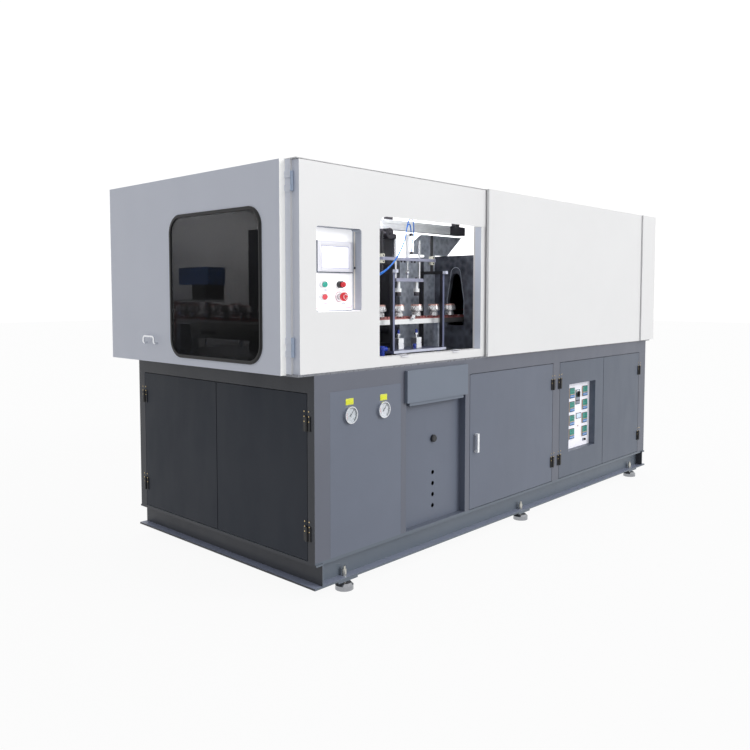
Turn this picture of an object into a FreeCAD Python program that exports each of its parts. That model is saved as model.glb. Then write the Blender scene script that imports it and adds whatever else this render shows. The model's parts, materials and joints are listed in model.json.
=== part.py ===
import FreeCAD, Part
import Sketcher
import math
import os
import re

# Two-cavity linear blow moulding machine, in millimetres.
# Everything is laid out from the machine corner: x runs right along the front from the left face of
# the cabinet, y runs back from the front face of the cabinet, z runs up from the floor.
# Each sub-part is then moved by its Placement so that the origin is the middle of the machine's
# outline on the floor.

DOC = FreeCAD.newDocument("blow_moulding_machine")

# Driving dimensions.
SIZES = {
    # base frame and feet
    "cabinet_length": 3000,
    "cabinet_depth": 1286,
    "cabinet_height": 736,
    "foot_clear": 46,
    "base_height": 99,
    "floor_thick": 6,
    "flange_width": 46,
    "flange_lip": 7,
    "flange_thick": 8,
    "web_thick": 6,
    "pad_radius": 38,
    "pad_height": 28,
    "pad_chamfer": 9,
    "stud_radius": 5.5,
    "stud_rise": 40,
    "nut_radius": 9,
    "nut_height": 28,
    "foot_plate_length": 110,
    "foot_plate_thick": 8,
    "foot_inset_x": 176,
    "foot_inset_y": 16,
    # cabinet frame
    "post_depth": 29,
    "top_rail_height": 71,
    "left_post_width": 84,
    "gauge_bay_width": 424,
    "slim_post_width": 33,
    "recess_bay_width": 438,
    "valve_bay_width": 783,
    "middle_post_width": 73,
    "right_post_width": 95,
    "end_post_width": 40,
    "rear_post_width": 50,
    "sheet": 2,
    "door_thick": 20,
    "door_gap": 3,
    "leaf_gap": 4,
    "seat_gap": 0.3,
    # gauges and recessed bay
    "gauge_radius": 35,
    "gauge_stem": 28,
    "gauge_depth": 12,
    "gauge_bezel": 4,
    "dial_recess": 7,
    "lens_recess": 1,
    "lens_thick": 1.5,
    "gauge_body_depth": 45,
    "gauge_first": 110,
    "gauge_pitch": 198,
    "gauge_height": 714,
    "needle_point": 26,
    "needle_tail": 8,
    "needle_width": 3,
    "needle_tip": 0.8,
    "needle_thick": 1,
    "needle_lift": 1.5,
    "spindle_radius": 2.4,
    "recess_depth": 33,
    "lock_height": 535,
    "lock_offset": 10,
    "lock_radius": 17,
    "lock_stem_radius": 8,
    "lock_stem": 20,
    "lock_head": 14,
    "lock_bevel": 4,
    "cable_hole_radius": 10,
    "cable_hole_first": 220,
    "cable_hole_pitch": 52,
    "hood_depth": 16,
    "hood_bottom": 725,
    "hood_top": 868,
    "hood_side": 8,
    "hood_lip_height": 15,
    "hood_lip_inset": 24,
    # lower doors
    "hinge_low": 262,
    "hinge_high": 697,
    "hinge_height": 58,
    "hinge_leaf": 20,
    "hinge_leaf_thick": 4,
    "hinge_barrel": 5.5,
    "hinge_pin": 2.5,
    "leaf_clear": 0.8,
    "bore_short": 2,
    "pin_short": 3,
    "pin_clearance": 0.3,
    "door_pull_from_edge": 48,
    "door_pull_low": 430,
    "door_pull_height": 92,
    "door_pull_width": 14,
    "door_pull_rise": 20,
    "door_pull_bar": 6,
    "door_pull_foot": 10,
    "electric_left_width": 532,
    "panel_window_left": 110,
    "panel_window_width": 318,
    "panel_window_low": 292,
    "panel_window_height": 389,
    "panel_window_depth": 39,
    "panel_margin": 12,
    "controller_width": 58,
    "controller_height": 60,
    "controller_proud": 7,
    "controller_inset": 6,
    "controller_depth": 70,
    "controller_left": 68,
    "controller_right": 224,
    "controller_first": 56,
    "controller_pitch": 80.5,
    "switch_plate_left": 144,
    "switch_plate_low": 254,
    "switch_plate_width": 52,
    "switch_plate_height": 88,
    "switch_plate_proud": 3,
    "display_left": 153,
    "display_low": 168,
    "display_width": 60,
    "display_height": 33,
    "switch_knob_radius": 17,
    "switch_knob_depth": 14,
    "switch_knob_skirt": 5,
    "switch_knob_bevel": 4,
    "switch_knob_drop": 26,
    "pilot_radius": 7,
    "pilot_proud": 8,
    "pilot_left": 32,
    "pilot_left_low": 46,
    "pilot_right": 261,
    "pilot_right_low": 33,
    "end_leaf_front_width": 595,
    # electrical mounting plate
    "back_plate_thick": 3,
    "back_plate_standoff": 300,
    "back_plate_margin": 20,
    "back_plate_head_gap": 40,
    "din_rail_margin": 60,
    "din_rail_low": 380,
    "din_rail_height": 35,
    "din_rail_depth": 8,
    "contactor_width": 45,
    "contactor_height": 85,
    "contactor_depth": 80,
    "contactor_low": 355,
    "contactor_first": 100,
    "contactor_pitch": 60,
    "contactor_count": 6,
    # machine bed and enclosure
    "rim_thick": 9,
    "rim_width": 50,
    "bed_thick": 35,
    "enclosure_top": 1709,
    "left_overhang": 82,
    "right_overhang": 60,
    "back_overhang": 14,
    "tube": 40,
    "tube_setback": 10,
    "front_panel_left": 71,
    "opening_left": 371,
    "opening_right": 1100,
    "opening_bottom": 934,
    "opening_head": 185,
    "opening_radius": 45,
    "joint_x": 1137,
    "inner_panel_set": 3,
    "inner_panel_gap": 20,
    "inner_panel_lap": 10,
    "jamb_return": 38,
    "corner_width": 192,
    "corner_gap": 3,
    "corner_proud": 9,
    "slide_door_thick": 14,
    "slide_door_space": 3,
    "slide_travel": 790,
    "hook_gap": 0.5,
    "hook_drop": 14,
    "roof_thick": 3,
    "frame_post_near": 38,
    # end door
    "end_door_thick": 28,
    "end_door_near": 67,
    "end_door_lap": 40,
    "end_door_bottom": 891,
    "end_door_head": 3,
    "window_near": 180,
    "window_far": 811,
    "window_low": 929,
    "window_head": 168,
    "window_radius": 75,
    "gasket_width": 8,
    "gasket_flange": 6,
    "gasket_proud": 4,
    "gasket_step": 2,
    "pane_lap": 10,
    "pane_thick": 5,
    "bow_near": 929,
    "bow_far": 1017,
    "bow_foot": 977,
    "bow_height": 1008,
    "bow_off": 20,
    "bow_radius": 5,
    "end_hinge_radius": 5.7,
    "end_hinge_length": 75,
    "end_hinge_low": 961,
    "end_hinge_head": 120,
    "end_hinge_block": 3,
    "end_pin_short": 1,
    # control recess
    "recess_left": 15,
    "recess_right": 263,
    "recess_low": 1132,
    "recess_high": 1462,
    "control_depth": 50,
    "control_radius": 12,
    "touch_width": 194,
    "touch_height": 126,
    "touch_thick": 12,
    "touch_left": 58,
    "touch_low": 1285,
    "button_column_left": 90,
    "button_column_right": 186,
    "button_row_low": 1190,
    "button_row_high": 1239,
    "bezel_radius": 14,
    "bezel_height": 18,
    "bezel_bore": 11,
    "button_radius": 10.6,
    "button_rise": 7,
    "button_edge": 1,
    "button_travel": 3,
    "lamp_bevel": 3,
    "mushroom_radius": 18,
    "mushroom_height": 12,
    "mushroom_bevel": 4,
    # conveyor
    "seat_pitch": 131,
    "seat_radius": 31,
    "seat_foot": 22,
    "seat_waist": 18,
    "seat_mouth": 26,
    "seat_foot_height": 14,
    "seat_waist_top": 22,
    "seat_brim_low": 26,
    "seat_brim_high": 34,
    "seat_height": 56,
    "seats_per_turn": 6,
    "seats_before_loader": 4,
    "loader_seat_x": 735,
    "chain_front_y": 215,
    "chain_top": 1095,
    "chain_clear": 30,
    "link_width": 16,
    "link_thick": 8,
    "link_gap": 7,
    "wear_thick": 5,
    "wear_width": 40,
    "rail_width": 50,
    "rail_height": 23,
    "rail_foot_width": 12,
    "rail_foot_length": 26,
    "rail_foot_left": 295,
    "rail_foot_right": 222,
    "rail_foot_oven": 300,
    "rail_foot_pitch": 500,
    "rail_foot_side": 60,
    "drive_column_gap": 38,
    "drive_column_deep": 50,
    "sprocket_teeth": 30,
    "sprocket_tip_gap": 1.5,
    "tooth_depth": 9,
    "sprocket_hub": 34,
    "hub_below": 14,
    "hub_above": 20,
    "shaft_below": 30,
    "sprocket_thick": 5,
    "shaft_radius": 15,
    "shaft_hole_clearance": 2,
    # loader
    "portal_y": 140,
    "portal_half_span": 182,
    "portal_depth": 148,
    "post_wide": 13,
    "post_deep": 18,
    "portal_margin": 10,
    "portal_plate_thick": 12,
    "portal_plate_gap": 8,
    "portal_foot_radius": 15,
    "portal_foot_inset": 30,
    "loader_rise": 217,
    "arm_thick": 15,
    "arm_reach": 20,
    "cap_wide": 16,
    "hanger_radius": 7,
    "hanger_rise": 175,
    "collar_radius": 14,
    "collar_height": 14,
    "top_plate_rise": 45,
    "top_plate_thick": 14,
    "top_plate_margin": 10,
    "top_plate_width": 36,
    "guide_offset": 87,
    "guide_radius": 6,
    "guide_rise": 86,
    "slide_clearance": 0.3,
    "carriage_drop": 98,
    "carriage_plate_thick": 16,
    "carriage_half": 99,
    "carriage_width": 34,
    "neck_radius": 8,
    "neck_length": 32,
    "head_radius": 15,
    "head_length": 17,
    "tip_radius": 12,
    "tip_length": 18,
    "rod_radius": 4,
    "ball_radius": 10,
    "ball_rise": 28,
    "rod_spare": 22,
    "cylinder_radius": 11,
    "cylinder_length": 112,
    "cylinder_bore_spare": 25,
    "port_size": 12,
    "port_reach": 21,
    "port_set": 2,
    "upper_port_right": 7,
    "upper_port_rise": 116,
    "lower_port_right": 12,
    "lower_port_rise": 30,
    "tube_radius": 2.5,
    "carriage_travel": 38,
    "lift_size": 36,
    "lift_height": 50,
    "lift_groove": 4,
    "lift_groove_deep": 3,
    "lift_rod_radius": 5,
    "lift_rod_length": 44,
    "lift_bore_spare": 5,
    "lift_cap_radius": 11,
    "lift_cap_height": 8,
    "lift_rod_rise": 14,
    "lift_travel": 20,
    # transfer beam
    "beam_left": 700,
    "beam_right": 1215,
    "beam_y": 280,
    "beam_size": 45,
    "beam_below_head": 198,
    "beam_slot": 9,
    "beam_slot_depth": 5,
    "bracket_length": 130,
    "idler_arm_width": 36,
    "idler_arm_drop": 40,
    "idler_drop": 22,
    "idler_gap": 4,
    "idler_pin": 8,
    "pulley_radius": 26,
    "pulley_width": 22,
    "beam_hanger_left": 760,
    "beam_hanger_right": 1290,
    "beam_hanger_width": 30,
    "beam_hanger_inset": 6,
    # oven
    "oven_left": 1180,
    "oven_end_gap": 135,
    "oven_near": 60,
    "oven_back_gap": 60,
    "oven_top": 1396,
    "oven_wall": 20,
    "tunnel_width": 105,
    "tunnel_crown_radius": 30,
    "tunnel_crown": 1306,
    "tunnel_shoulder": 1169,
    "tunnel_floor": 1040,
    # heat shields
    "shield_y": 350,
    "shield_left": 900,
    "shield_right": 1048,
    "shield_top": 1371,
    "screen_left": 1089,
    "screen_gap": 2,
    "screen_step": 1400,
    "screen_wing": 1006,
    "screen_wing_top": 1469,
    "screen_slope_low": 1280,
    "screen_slope_high": 1410,
    "screen_top": 1504,
    "screen_top_left": 1065,
    # clamp unit
    "clamp_left": 340,
    "clamp_right": 1020,
    "clamp_near": 480,
    "clamp_far": 840,
    "clamp_plate": 30,
    "clamp_base_thick": 25,
    "clamp_head": 199,
    "tie_radius": 16,
    "tie_inset": 45,
    "tie_low": 1010,
    "tie_high": 1340,
    "platen_thick": 40,
    "platen_low": 970,
    "platen_high": 1380,
    "platen_margin": 10,
    "mould_thick": 95,
    "mould_low": 1020,
    "mould_high": 1260,
    "mould_half_width": 120,
    "mould_opening": 100,
    "bottle_radius": 32,
    "bottle_neck": 13,
    "bottle_neck_height": 40,
    "bottle_height": 190,
    "bottle_shoulder": 45,
    "bottle_pitch": 110,
    "bottle_drop": 20,
    "ram_radius": 25,
    "ram_overrun": 50,
    "stretch_low": 1300,
    "stretch_travel": 36,
    "stretch_rod": 18,
    "stretch_rod_spare": 30,
    "nozzle_wall": 4,
    "nozzle_length": 70,
    "blow_plate_thick": 25,
    "blow_plate_half": 35,
    # servo drive
    "motor_length": 250,
    "motor_width": 100,
    "motor_height": 84,
    "motor_low": 1246,
    "motor_forward": 74,
    "gearbox_width": 110,
    "gearbox_low": 1172,
    "drive_plate_low": 1160,
    "cable_radius": 3,
    "cable_from_end": 40,
    "cable_reach": 60,
    "cable_hang": 45,
    "cable_back": 26,
    "cable_drop": 90,
    # air tubes
    "tube_exit_y": 28,
    "tube_exit_pitch": 12,
    "tube_exit_drop": 20,
    "tube_reach": 170,
    "tube_behind_post": 10,
    "tube_rise": 115,
    "tube_pull": 50,
    "tube_hook": 75,
    "upper_tube_below": 20,
    "upper_tube_over": 60,
    "upper_tube_straight": 12,
    "lower_tube_above": 60,
    "lower_tube_over": 150,
    "lower_tube_straight": 25,
    "lower_tube_lean": 15,
}

# Places worked out from the driving dimensions, each a formula on both sheets.
PLACES = {
    "cabinet_bottom": "foot_clear + base_height",
    "frame_bottom": "cabinet_bottom + floor_thick",
    "cabinet_top": "frame_bottom + cabinet_height",
    "rail_bottom": "cabinet_top - top_rail_height",
    "door_low": "frame_bottom + door_gap",
    "door_high": "rail_bottom - door_gap",
    "channel_in": "flange_width - flange_lip",
    "channel_face": "channel_in - web_thick",
    "gauge_bay_left": "left_post_width",
    "gauge_bay_right": "gauge_bay_left + gauge_bay_width",
    "recess_bay_left": "gauge_bay_right + slim_post_width",
    "recess_bay_right": "recess_bay_left + recess_bay_width",
    "recess_bay_middle": "(recess_bay_left + recess_bay_right)/2 + lock_offset",
    "valve_bay_left": "recess_bay_right + slim_post_width",
    "valve_bay_right": "valve_bay_left + valve_bay_width",
    "electric_bay_left": "valve_bay_right + middle_post_width",
    "electric_bay_right": "cabinet_length - right_post_width",
    "electric_seam": "electric_bay_left + electric_left_width",
    "side_bay_near": "end_post_width",
    "side_bay_far": "cabinet_depth - rear_post_width",
    "side_seam": "side_bay_near + end_leaf_front_width + leaf_gap",
    "window_x": "electric_bay_left + panel_window_left",
    "window_x_end": "window_x + panel_window_width",
    "window_z_end": "panel_window_low + panel_window_height",
    "panel_face": "panel_window_depth",
    "bed_top": "cabinet_top + bed_thick",
    "rim_top": "cabinet_top + rim_thick",
    "enclosure_left": "-left_overhang",
    "enclosure_right": "cabinet_length + right_overhang",
    "enclosure_back": "cabinet_depth + back_overhang",
    "corner_left": "enclosure_right - corner_width",
    "slide_door_right": "corner_left - corner_gap",
    "frame_top": "enclosure_top - roof_thick",
    "end_door_top": "enclosure_top - end_door_head",
    "window_high": "end_door_top - window_head",
    "end_hinge_high": "end_door_top - end_hinge_head",
    "opening_top": "enclosure_top - opening_head",
    "hook_low": "frame_top - seat_gap - sheet",
    "panel_top": "hook_low - seat_gap",
    "inner_panel_back": "inner_panel_set + sheet",
    "hook_back": "inner_panel_back + hook_gap + sheet",
    "slide_back": "-slide_door_space",
    "slide_face": "slide_back - slide_door_thick",
    "slide_bottom": "rim_top - sheet",
    "corner_face": "slide_face - corner_proud",
    "end_door_face": "enclosure_left - end_door_thick",
    "end_door_far": "enclosure_back + end_door_lap",
    "end_hinge_x": "enclosure_left + end_hinge_radius - 6*seat_gap",
    "end_hinge_y": "frame_post_near - end_hinge_radius - seat_gap",
    "control_back": "sheet + control_depth",
    "oven_right": "enclosure_right - oven_end_gap",
    "oven_far": "enclosure_back - oven_back_gap",
    "turn_radius": "seats_per_turn*seat_pitch/(2*pi)",
    "run_left": "loader_seat_x - seats_before_loader*seat_pitch",
    "run_room": "oven_right - oven_wall - chain_clear - turn_radius - run_left",
    "run_right": "run_left + floor(run_room/seat_pitch)*seat_pitch",
    "side_room": "oven_far - oven_wall - chain_clear - 2*turn_radius - chain_front_y",
    "side_run": "floor(side_room/seat_pitch)*seat_pitch",
    "chain_side_x": "run_left - turn_radius",
    "chain_far_x": "run_right + turn_radius",
    "turn_near_y": "chain_front_y + turn_radius",
    "turn_far_y": "turn_near_y + side_run",
    "chain_back_y": "turn_far_y + turn_radius",
    "motor_near": "turn_far_y - motor_forward",
    "link_bottom": "chain_top - link_thick",
    "rail_top": "link_bottom - wear_thick",
    "rail_low": "rail_top - rail_height",
    "loader_x": "loader_seat_x + seat_pitch/2",
    "portal_left": "loader_x - portal_half_span",
    "portal_right": "loader_x + portal_half_span",
    "portal_back": "portal_y + portal_depth",
    "portal_plate_low": "bed_top + portal_plate_gap",
    "portal_plate_top": "portal_plate_low + portal_plate_thick",
    "portal_top": "chain_top + loader_rise",
    "arm_low": "portal_top - arm_thick",
    "hanger_top": "portal_top + hanger_rise",
    "top_plate_z": "portal_top + top_plate_rise",
    "top_plate_top": "top_plate_z + top_plate_thick",
    "guide_top": "top_plate_top + guide_rise",
    "carriage_plate_z": "top_plate_z - carriage_drop",
    "carriage_top": "carriage_plate_z + carriage_plate_thick",
    "neck_low": "carriage_plate_z - neck_length",
    "head_low": "neck_low - head_length",
    "cylinder_top": "top_plate_top + cylinder_length",
    "lift_top": "portal_plate_top + lift_height",
    "beam_bottom": "frame_top - beam_below_head",
    "beam_top": "beam_bottom + beam_size",
    "clamp_top": "enclosure_top - clamp_head",
    "clamp_middle": "(clamp_left + clamp_right)/2",
    "clamp_depth_middle": "(clamp_near + clamp_far)/2",
    "clamp_base_top": "bed_top + clamp_base_thick",
    "mould_face": "mould_opening/2",
    "platen_face": "mould_face + mould_thick",
    "platen_back": "platen_face + platen_thick",
    "bow_reach": "bow_off + bow_radius",
    "middle_x": "(end_door_face - bow_reach + enclosure_right)/2",
    "front_reach": "max(-corner_face, pad_radius - foot_inset_y, door_pull_rise)",
    "middle_y": "(end_door_far - front_reach)/2",
}

SHEETS = {}
SUB_PARTS = []


def fill_sheet(name, entries, as_formula):
    """A spreadsheet with one alias to a row."""
    sheet = DOC.addObject("Spreadsheet::Sheet", name)
    for row, (alias, entry) in enumerate(entries.items(), start=1):
        cell = f"A{row}"
        sheet.set(cell, "=" + bound(entry) if as_formula else str(entry))
        sheet.setAlias(cell, alias)
        SHEETS[alias] = name
    return sheet


def bound(expression):
    """The expression with each size or place written as a reference to its sheet."""
    def reference(match):
        word = match.group(0)
        owner = "sizes" if word in SIZES else "places" if word in PLACES else None
        return f"{owner}.{word}" if owner else word
    return re.sub(r"[A-Za-z_][A-Za-z_0-9]*", reference, str(expression))


def bind(piece, path, expression):
    """Tie one property of a piece to an expression on the sheets."""
    piece.setExpression(path, bound(expression))


def value(name):
    """The number that a size or place holds."""
    return float(getattr(DOC.getObject(SHEETS[name]), name))


# Turns that carry the local z axis to each direction, and the turns that stand a flat outline up.
TURNS = {
    "z": FreeCAD.Rotation(),
    "x": FreeCAD.Rotation(FreeCAD.Vector(0, 1, 0), 90),
    "y": FreeCAD.Rotation(FreeCAD.Vector(1, 0, 0), -90),
    "-y": FreeCAD.Rotation(FreeCAD.Vector(1, 0, 0), 90),
    "flat": FreeCAD.Rotation(),
    "front": FreeCAD.Rotation(FreeCAD.Vector(1, 0, 0), 90),
    "side": FreeCAD.Rotation(FreeCAD.Vector(1, 1, 1), 120),
}


def put(piece, turn, x, y, z):
    """Turn a piece and tie its place to the sheets."""
    piece.Placement = FreeCAD.Placement(FreeCAD.Vector(), turn)
    bind(piece, "Placement.Base.x", x)
    bind(piece, "Placement.Base.y", y)
    bind(piece, "Placement.Base.z", z)
    return piece


def box(x, y, z):
    """A block between two corners, given as a (low, high) pair for each axis."""
    block = DOC.addObject("Part::Box", "Block")
    for side, (low, high) in zip(("Length", "Width", "Height"), (x, y, z)):
        bind(block, side, f"({high}) - ({low})")
    return put(block, TURNS["z"], x[0], y[0], z[0])


def about(middle, half):
    """The (low, high) pair that lies evenly about a middle."""
    return (f"{middle} - {half}", f"{middle} + {half}")


def rod(axis, radius, centre, span):
    """A round bar along x, y or z; its centre is the pair of coordinates across the axis."""
    bar = DOC.addObject("Part::Cylinder", "Bar")
    bind(bar, "Radius", radius)
    low, high = span
    bind(bar, "Height", f"({high}) - ({low})")
    across = list(centre)
    across.insert("xyz".index(axis), low)
    return put(bar, TURNS[axis], *across)


def group(*pieces):
    """Several separate solids as one object."""
    together = DOC.addObject("Part::Compound", "Group")
    together.Links = list(pieces)
    return together


def cut(base, *tools):
    """The base less the tools, which don't overlap each other."""
    result = DOC.addObject("Part::Cut", "Cut")
    result.Base = base
    result.Tool = tools[0] if len(tools) == 1 else group(*tools)
    return result


def fuse(*pieces):
    """One solid from pieces that meet."""
    result = DOC.addObject("Part::MultiFuse", "Fusion")
    result.Shapes = list(pieces)
    result.Refine = True
    return result


def copy_of(piece, x, y, z, turn="z", spin=0):
    """Another of a piece that is drawn at the corner, spun about its own z before it is turned."""
    again = DOC.addObject("App::Link", "Copy")
    again.LinkedObject = piece
    spun = FreeCAD.Rotation(FreeCAD.Vector(0, 0, 1), spin)
    return put(again, TURNS[turn] * spun, x, y, z)


def outline_sketch(body, points):
    """A closed outline in the body's XY plane, each corner tied to the sheets."""
    sketch = body.newObject("Sketcher::SketchObject", "Outline")
    plane = [flat for flat in body.Origin.OriginFeatures if flat.Role == "XY_Plane"]
    sketch.AttachmentSupport = [(plane[0], "")]
    sketch.MapMode = "FlatFace"
    draw_outline(sketch, points)
    return sketch


def draw_outline(sketch, points):
    """Straight lines through the points; each starts on a circle and is pulled to its place."""
    count = len(points)
    first = sketch.GeometryCount
    step = 2 * math.pi / count
    corners = [FreeCAD.Vector(math.cos(k * step), math.sin(k * step), 0) for k in range(count)]
    for index in range(count):
        sketch.addGeometry(Part.LineSegment(corners[index], corners[(index + 1) % count]))
    for index, (across, up) in enumerate(points):
        line = first + index
        following = first + (index + 1) % count
        sketch.addConstraint(Sketcher.Constraint("Coincident", line, 2, following, 1))
        for kind, place in (("DistanceX", across), ("DistanceY", up)):
            number = sketch.addConstraint(Sketcher.Constraint(kind, line, 1, 1.0))
            bind(sketch, f"Constraints[{number}]", place)


def plate(stand, points, place, thickness, radius=None, corners=None):
    """A padded outline. Lying flat it rises from its place, standing at the front it comes forward
    from it, and at the side it runs right from it. A radius rounds the corners that are listed."""
    body = DOC.addObject("PartDesign::Body", "Plate")
    sketch = outline_sketch(body, points)
    pad = body.newObject("PartDesign::Pad", "Pad")
    pad.Profile = sketch
    bind(pad, "Length", thickness)
    if radius:
        sketch.recompute()
        pad.recompute()
        round_corners(body, sketch, pad, radius, corners or range(len(points)))
    return put(body, TURNS[stand], *place)


def round_corners(body, sketch, pad, radius, corners):
    """Fillets on the upright edges of a pad that stand on the listed corners of its sketch."""
    chosen = [sketch.Geometry[index].StartPoint for index in corners]
    names = []
    for number, edge in enumerate(pad.Shape.Edges, start=1):
        upright = edge.BoundBox.ZLength > 0.5 * pad.Length.Value
        if upright and any(math.dist(edge.CenterOfMass[:2], spot[:2]) < 0.01 for spot in chosen):
            names.append(f"Edge{number}")
    fillet = body.newObject("PartDesign::Fillet", "Corners")
    fillet.Base = (pad, names)
    bind(fillet, "Radius", radius)
    body.Tip = fillet


def window(stand, low, high, place, thickness, radius):
    """A block with rounded corners, for a pane, a gasket or the hole that takes them."""
    points = ((low[0], low[1]), (high[0], low[1]), (high[0], high[1]), (low[0], high[1]))
    return plate(stand, points, place, thickness, radius)


def turned(profile, place=("0", "0", "0"), axis="z", angle="360"):
    """A turned piece: the profile is (radius, height) pairs in the plane of the axis."""
    body = DOC.addObject("PartDesign::Body", "Turned")
    sketch = body.newObject("Sketcher::SketchObject", "Profile")
    plane = [flat for flat in body.Origin.OriginFeatures if flat.Role == "XZ_Plane"]
    sketch.AttachmentSupport = [(plane[0], "")]
    sketch.MapMode = "FlatFace"
    draw_outline(sketch, profile)
    turn = body.newObject("PartDesign::Revolution", "Turn")
    turn.Profile = sketch
    turn.ReferenceAxis = (sketch, ["V_Axis"])
    bind(turn, "Angle", angle)
    return put(body, TURNS[axis], *place)


def pan(x, y, z, open_side):
    """A folded sheet pan: a tray with one open side, such as +y for open to the back."""
    inner = []
    for axis, (low, high) in zip("xyz", (x, y, z)):
        start = f"{low} - 1" if open_side == "-" + axis else f"{low} + sheet"
        end = f"{high} + 1" if open_side == "+" + axis else f"{high} - sheet"
        inner.append((start, end))
    return cut(box(x, y, z), box(*inner))


def swept(name, points, radius):
    """A round bar or cord: straight runs joined by tangent arcs, swept as one solid."""
    spots = [FreeCAD.Vector(*point) for point in points]
    edges = []
    radii = []
    at = spots[0]
    for before, corner, after in zip(spots, spots[1:], spots[2:]):
        back, on = before - corner, after - corner
        reach = 0.45 * min(back.Length, on.Length)
        turn = math.pi - back.getAngle(on)
        if turn < 0.001:
            continue
        bend = reach / math.tan(turn / 2)
        back.normalize()
        on.normalize()
        inward = back + on
        inward.normalize()
        arc_middle = corner + inward * (bend / math.cos(turn / 2) - bend)
        entry, exit_point = corner + back * reach, corner + on * reach
        edges.append(Part.LineSegment(at, entry).toShape())
        edges.append(Part.Arc(entry, arc_middle, exit_point).toShape())
        radii.append(bend)
        at = exit_point
    edges.append(Part.LineSegment(at, spots[-1]).toShape())
    wire = Part.Wire(edges)
    ring = Part.Wire(Part.Circle(spots[0], spots[1] - spots[0], radius).toShape())
    solid = wire.makePipeShell([ring], True, False)
    expected = math.pi * radius * radius * wire.Length
    print(f"{name}: length {wire.Length:.0f}, least bend {min(radii):.1f}, "
          f"volume ratio {solid.Volume / expected:.4f}")
    bar = DOC.addObject("Part::Feature", name)
    bar.Shape = solid
    return bar


def sub_part(label, *pieces):
    """One named piece of the machine, moved so that the origin is the middle of the outline."""
    part = group(*pieces)
    part.Label = label
    put(part, TURNS["z"], "-middle_x", "-middle_y", "0")
    SUB_PARTS.append(part)


def base_frame():
    """Four outward channels with end channels running through, foot plates and the floor."""
    def channel(edge, sign):
        lip = f"{edge} {sign} (-flange_lip)"
        web_out = f"{edge} {sign} channel_in"
        web_in = f"{edge} {sign} channel_face"
        low_inner = "foot_clear + flange_thick"
        high_inner = "cabinet_bottom - flange_thick"
        return ((lip, "foot_clear"), (web_out, "foot_clear"), (web_out, "cabinet_bottom"),
                (edge, "cabinet_bottom"), (edge, high_inner), (web_in, high_inner),
                (web_in, low_inner), (lip, low_inner))

    long_place = ("channel_in", "0", "0")
    long_run = "cabinet_length - 2*channel_in"
    short_place = ("0", "cabinet_depth + flange_lip", "0")
    short_run = "cabinet_depth + 2*flange_lip"
    solids = []
    for (edge, sign), stud_y in zip((("0", "+"), ("cabinet_depth", "-")), foot_rows()):
        lip, web = f"{edge} {sign} (-flange_lip)", f"{edge} {sign} channel_in"
        plate_y = (lip, web) if sign == "+" else (web, lip)
        holes = []
        for x in foot_columns():
            hole = rod("z", "stud_radius + slide_clearance", (x, stud_y), ("0", "base_height"))
            foot_plate = box(about(x, "foot_plate_length/2"), plate_y,
                             ("foot_clear - foot_plate_thick", "foot_clear"))
            solids.append(cut(foot_plate, hole))
            holes.append(hole)
        solids.append(cut(plate("side", channel(edge, sign), long_place, long_run), *holes))
    for edge, sign in (("0", "+"), ("cabinet_length", "-")):
        solids.append(plate("front", channel(edge, sign), short_place, short_run))
    solids.append(box(("0", "cabinet_length"), ("0", "cabinet_depth"),
                      ("cabinet_bottom", "frame_bottom")))
    sub_part("base_frame", *solids)


def foot_columns():
    return ("foot_inset_x", "cabinet_length/2", "cabinet_length - foot_inset_x")


def foot_rows():
    return ("foot_inset_y", "cabinet_depth - foot_inset_y")


def feet():
    """Levelling feet: a turned pad with a chamfered shoulder, and a stud with its nut."""
    pad = turned((("0", "0"), ("pad_radius", "0"), ("pad_radius", "pad_height - pad_chamfer"),
                  ("pad_radius - pad_chamfer", "pad_height"), ("0", "pad_height")))
    flange_top = "foot_clear + flange_thick"
    stud_top = f"{flange_top} + stud_rise"
    shank = rod("z", "stud_radius", ("0", "0"), ("pad_height", stud_top))
    nut = DOC.addObject("Part::Prism", "Nut")
    nut.Polygon = 6
    bind(nut, "Circumradius", "nut_radius")
    bind(nut, "Height", "nut_height")
    put(nut, TURNS["z"], "0", "0", flange_top)
    stud = fuse(shank, nut)
    spots = [(x, y) for x in foot_columns() for y in foot_rows()]
    sub_part("foot_pads", *[copy_of(pad, x, y, "0") for x, y in spots])
    sub_part("foot_studs", *[copy_of(stud, x, y, "0") for x, y in spots])


def cabinet_frame():
    """Posts on the floor plate, the top ring on the posts and the bearers under the bed."""
    up = ("frame_bottom", "rail_bottom")
    ring = ("rail_bottom", "cabinet_top")
    front = ("0", "post_depth")
    back = ("cabinet_depth - post_depth", "cabinet_depth")
    inside = ("post_depth", "cabinet_depth - post_depth")
    left = ("0", "post_depth")
    right = ("cabinet_length - post_depth", "cabinet_length")
    corner_left = ("0", "gauge_bay_left")
    corner_right = ("electric_bay_right", "cabinet_length")
    middle = ("valve_bay_right", "electric_bay_left")
    slim = (("gauge_bay_right", "recess_bay_left"), ("recess_bay_right", "valve_bay_left"))
    solids = [box(x, front, up) for x in (corner_left, *slim, middle, corner_right)]
    solids += [box(x, back, up) for x in (corner_left, middle, corner_right)]
    solids.append(box(left, ("post_depth", "side_bay_near"), up))
    solids.append(box(left, ("side_bay_far", "cabinet_depth - post_depth"), up))
    solids.append(box(("0", "cabinet_length"), front, ring))
    solids.append(box(("0", "cabinet_length"), back, ring))
    solids.append(box(left, inside, ring))
    solids.append(box(right, inside, ring))
    solids += [box(x, inside, ring) for x in (*slim, middle)]
    sub_part("cabinet_frame", *solids)


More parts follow.
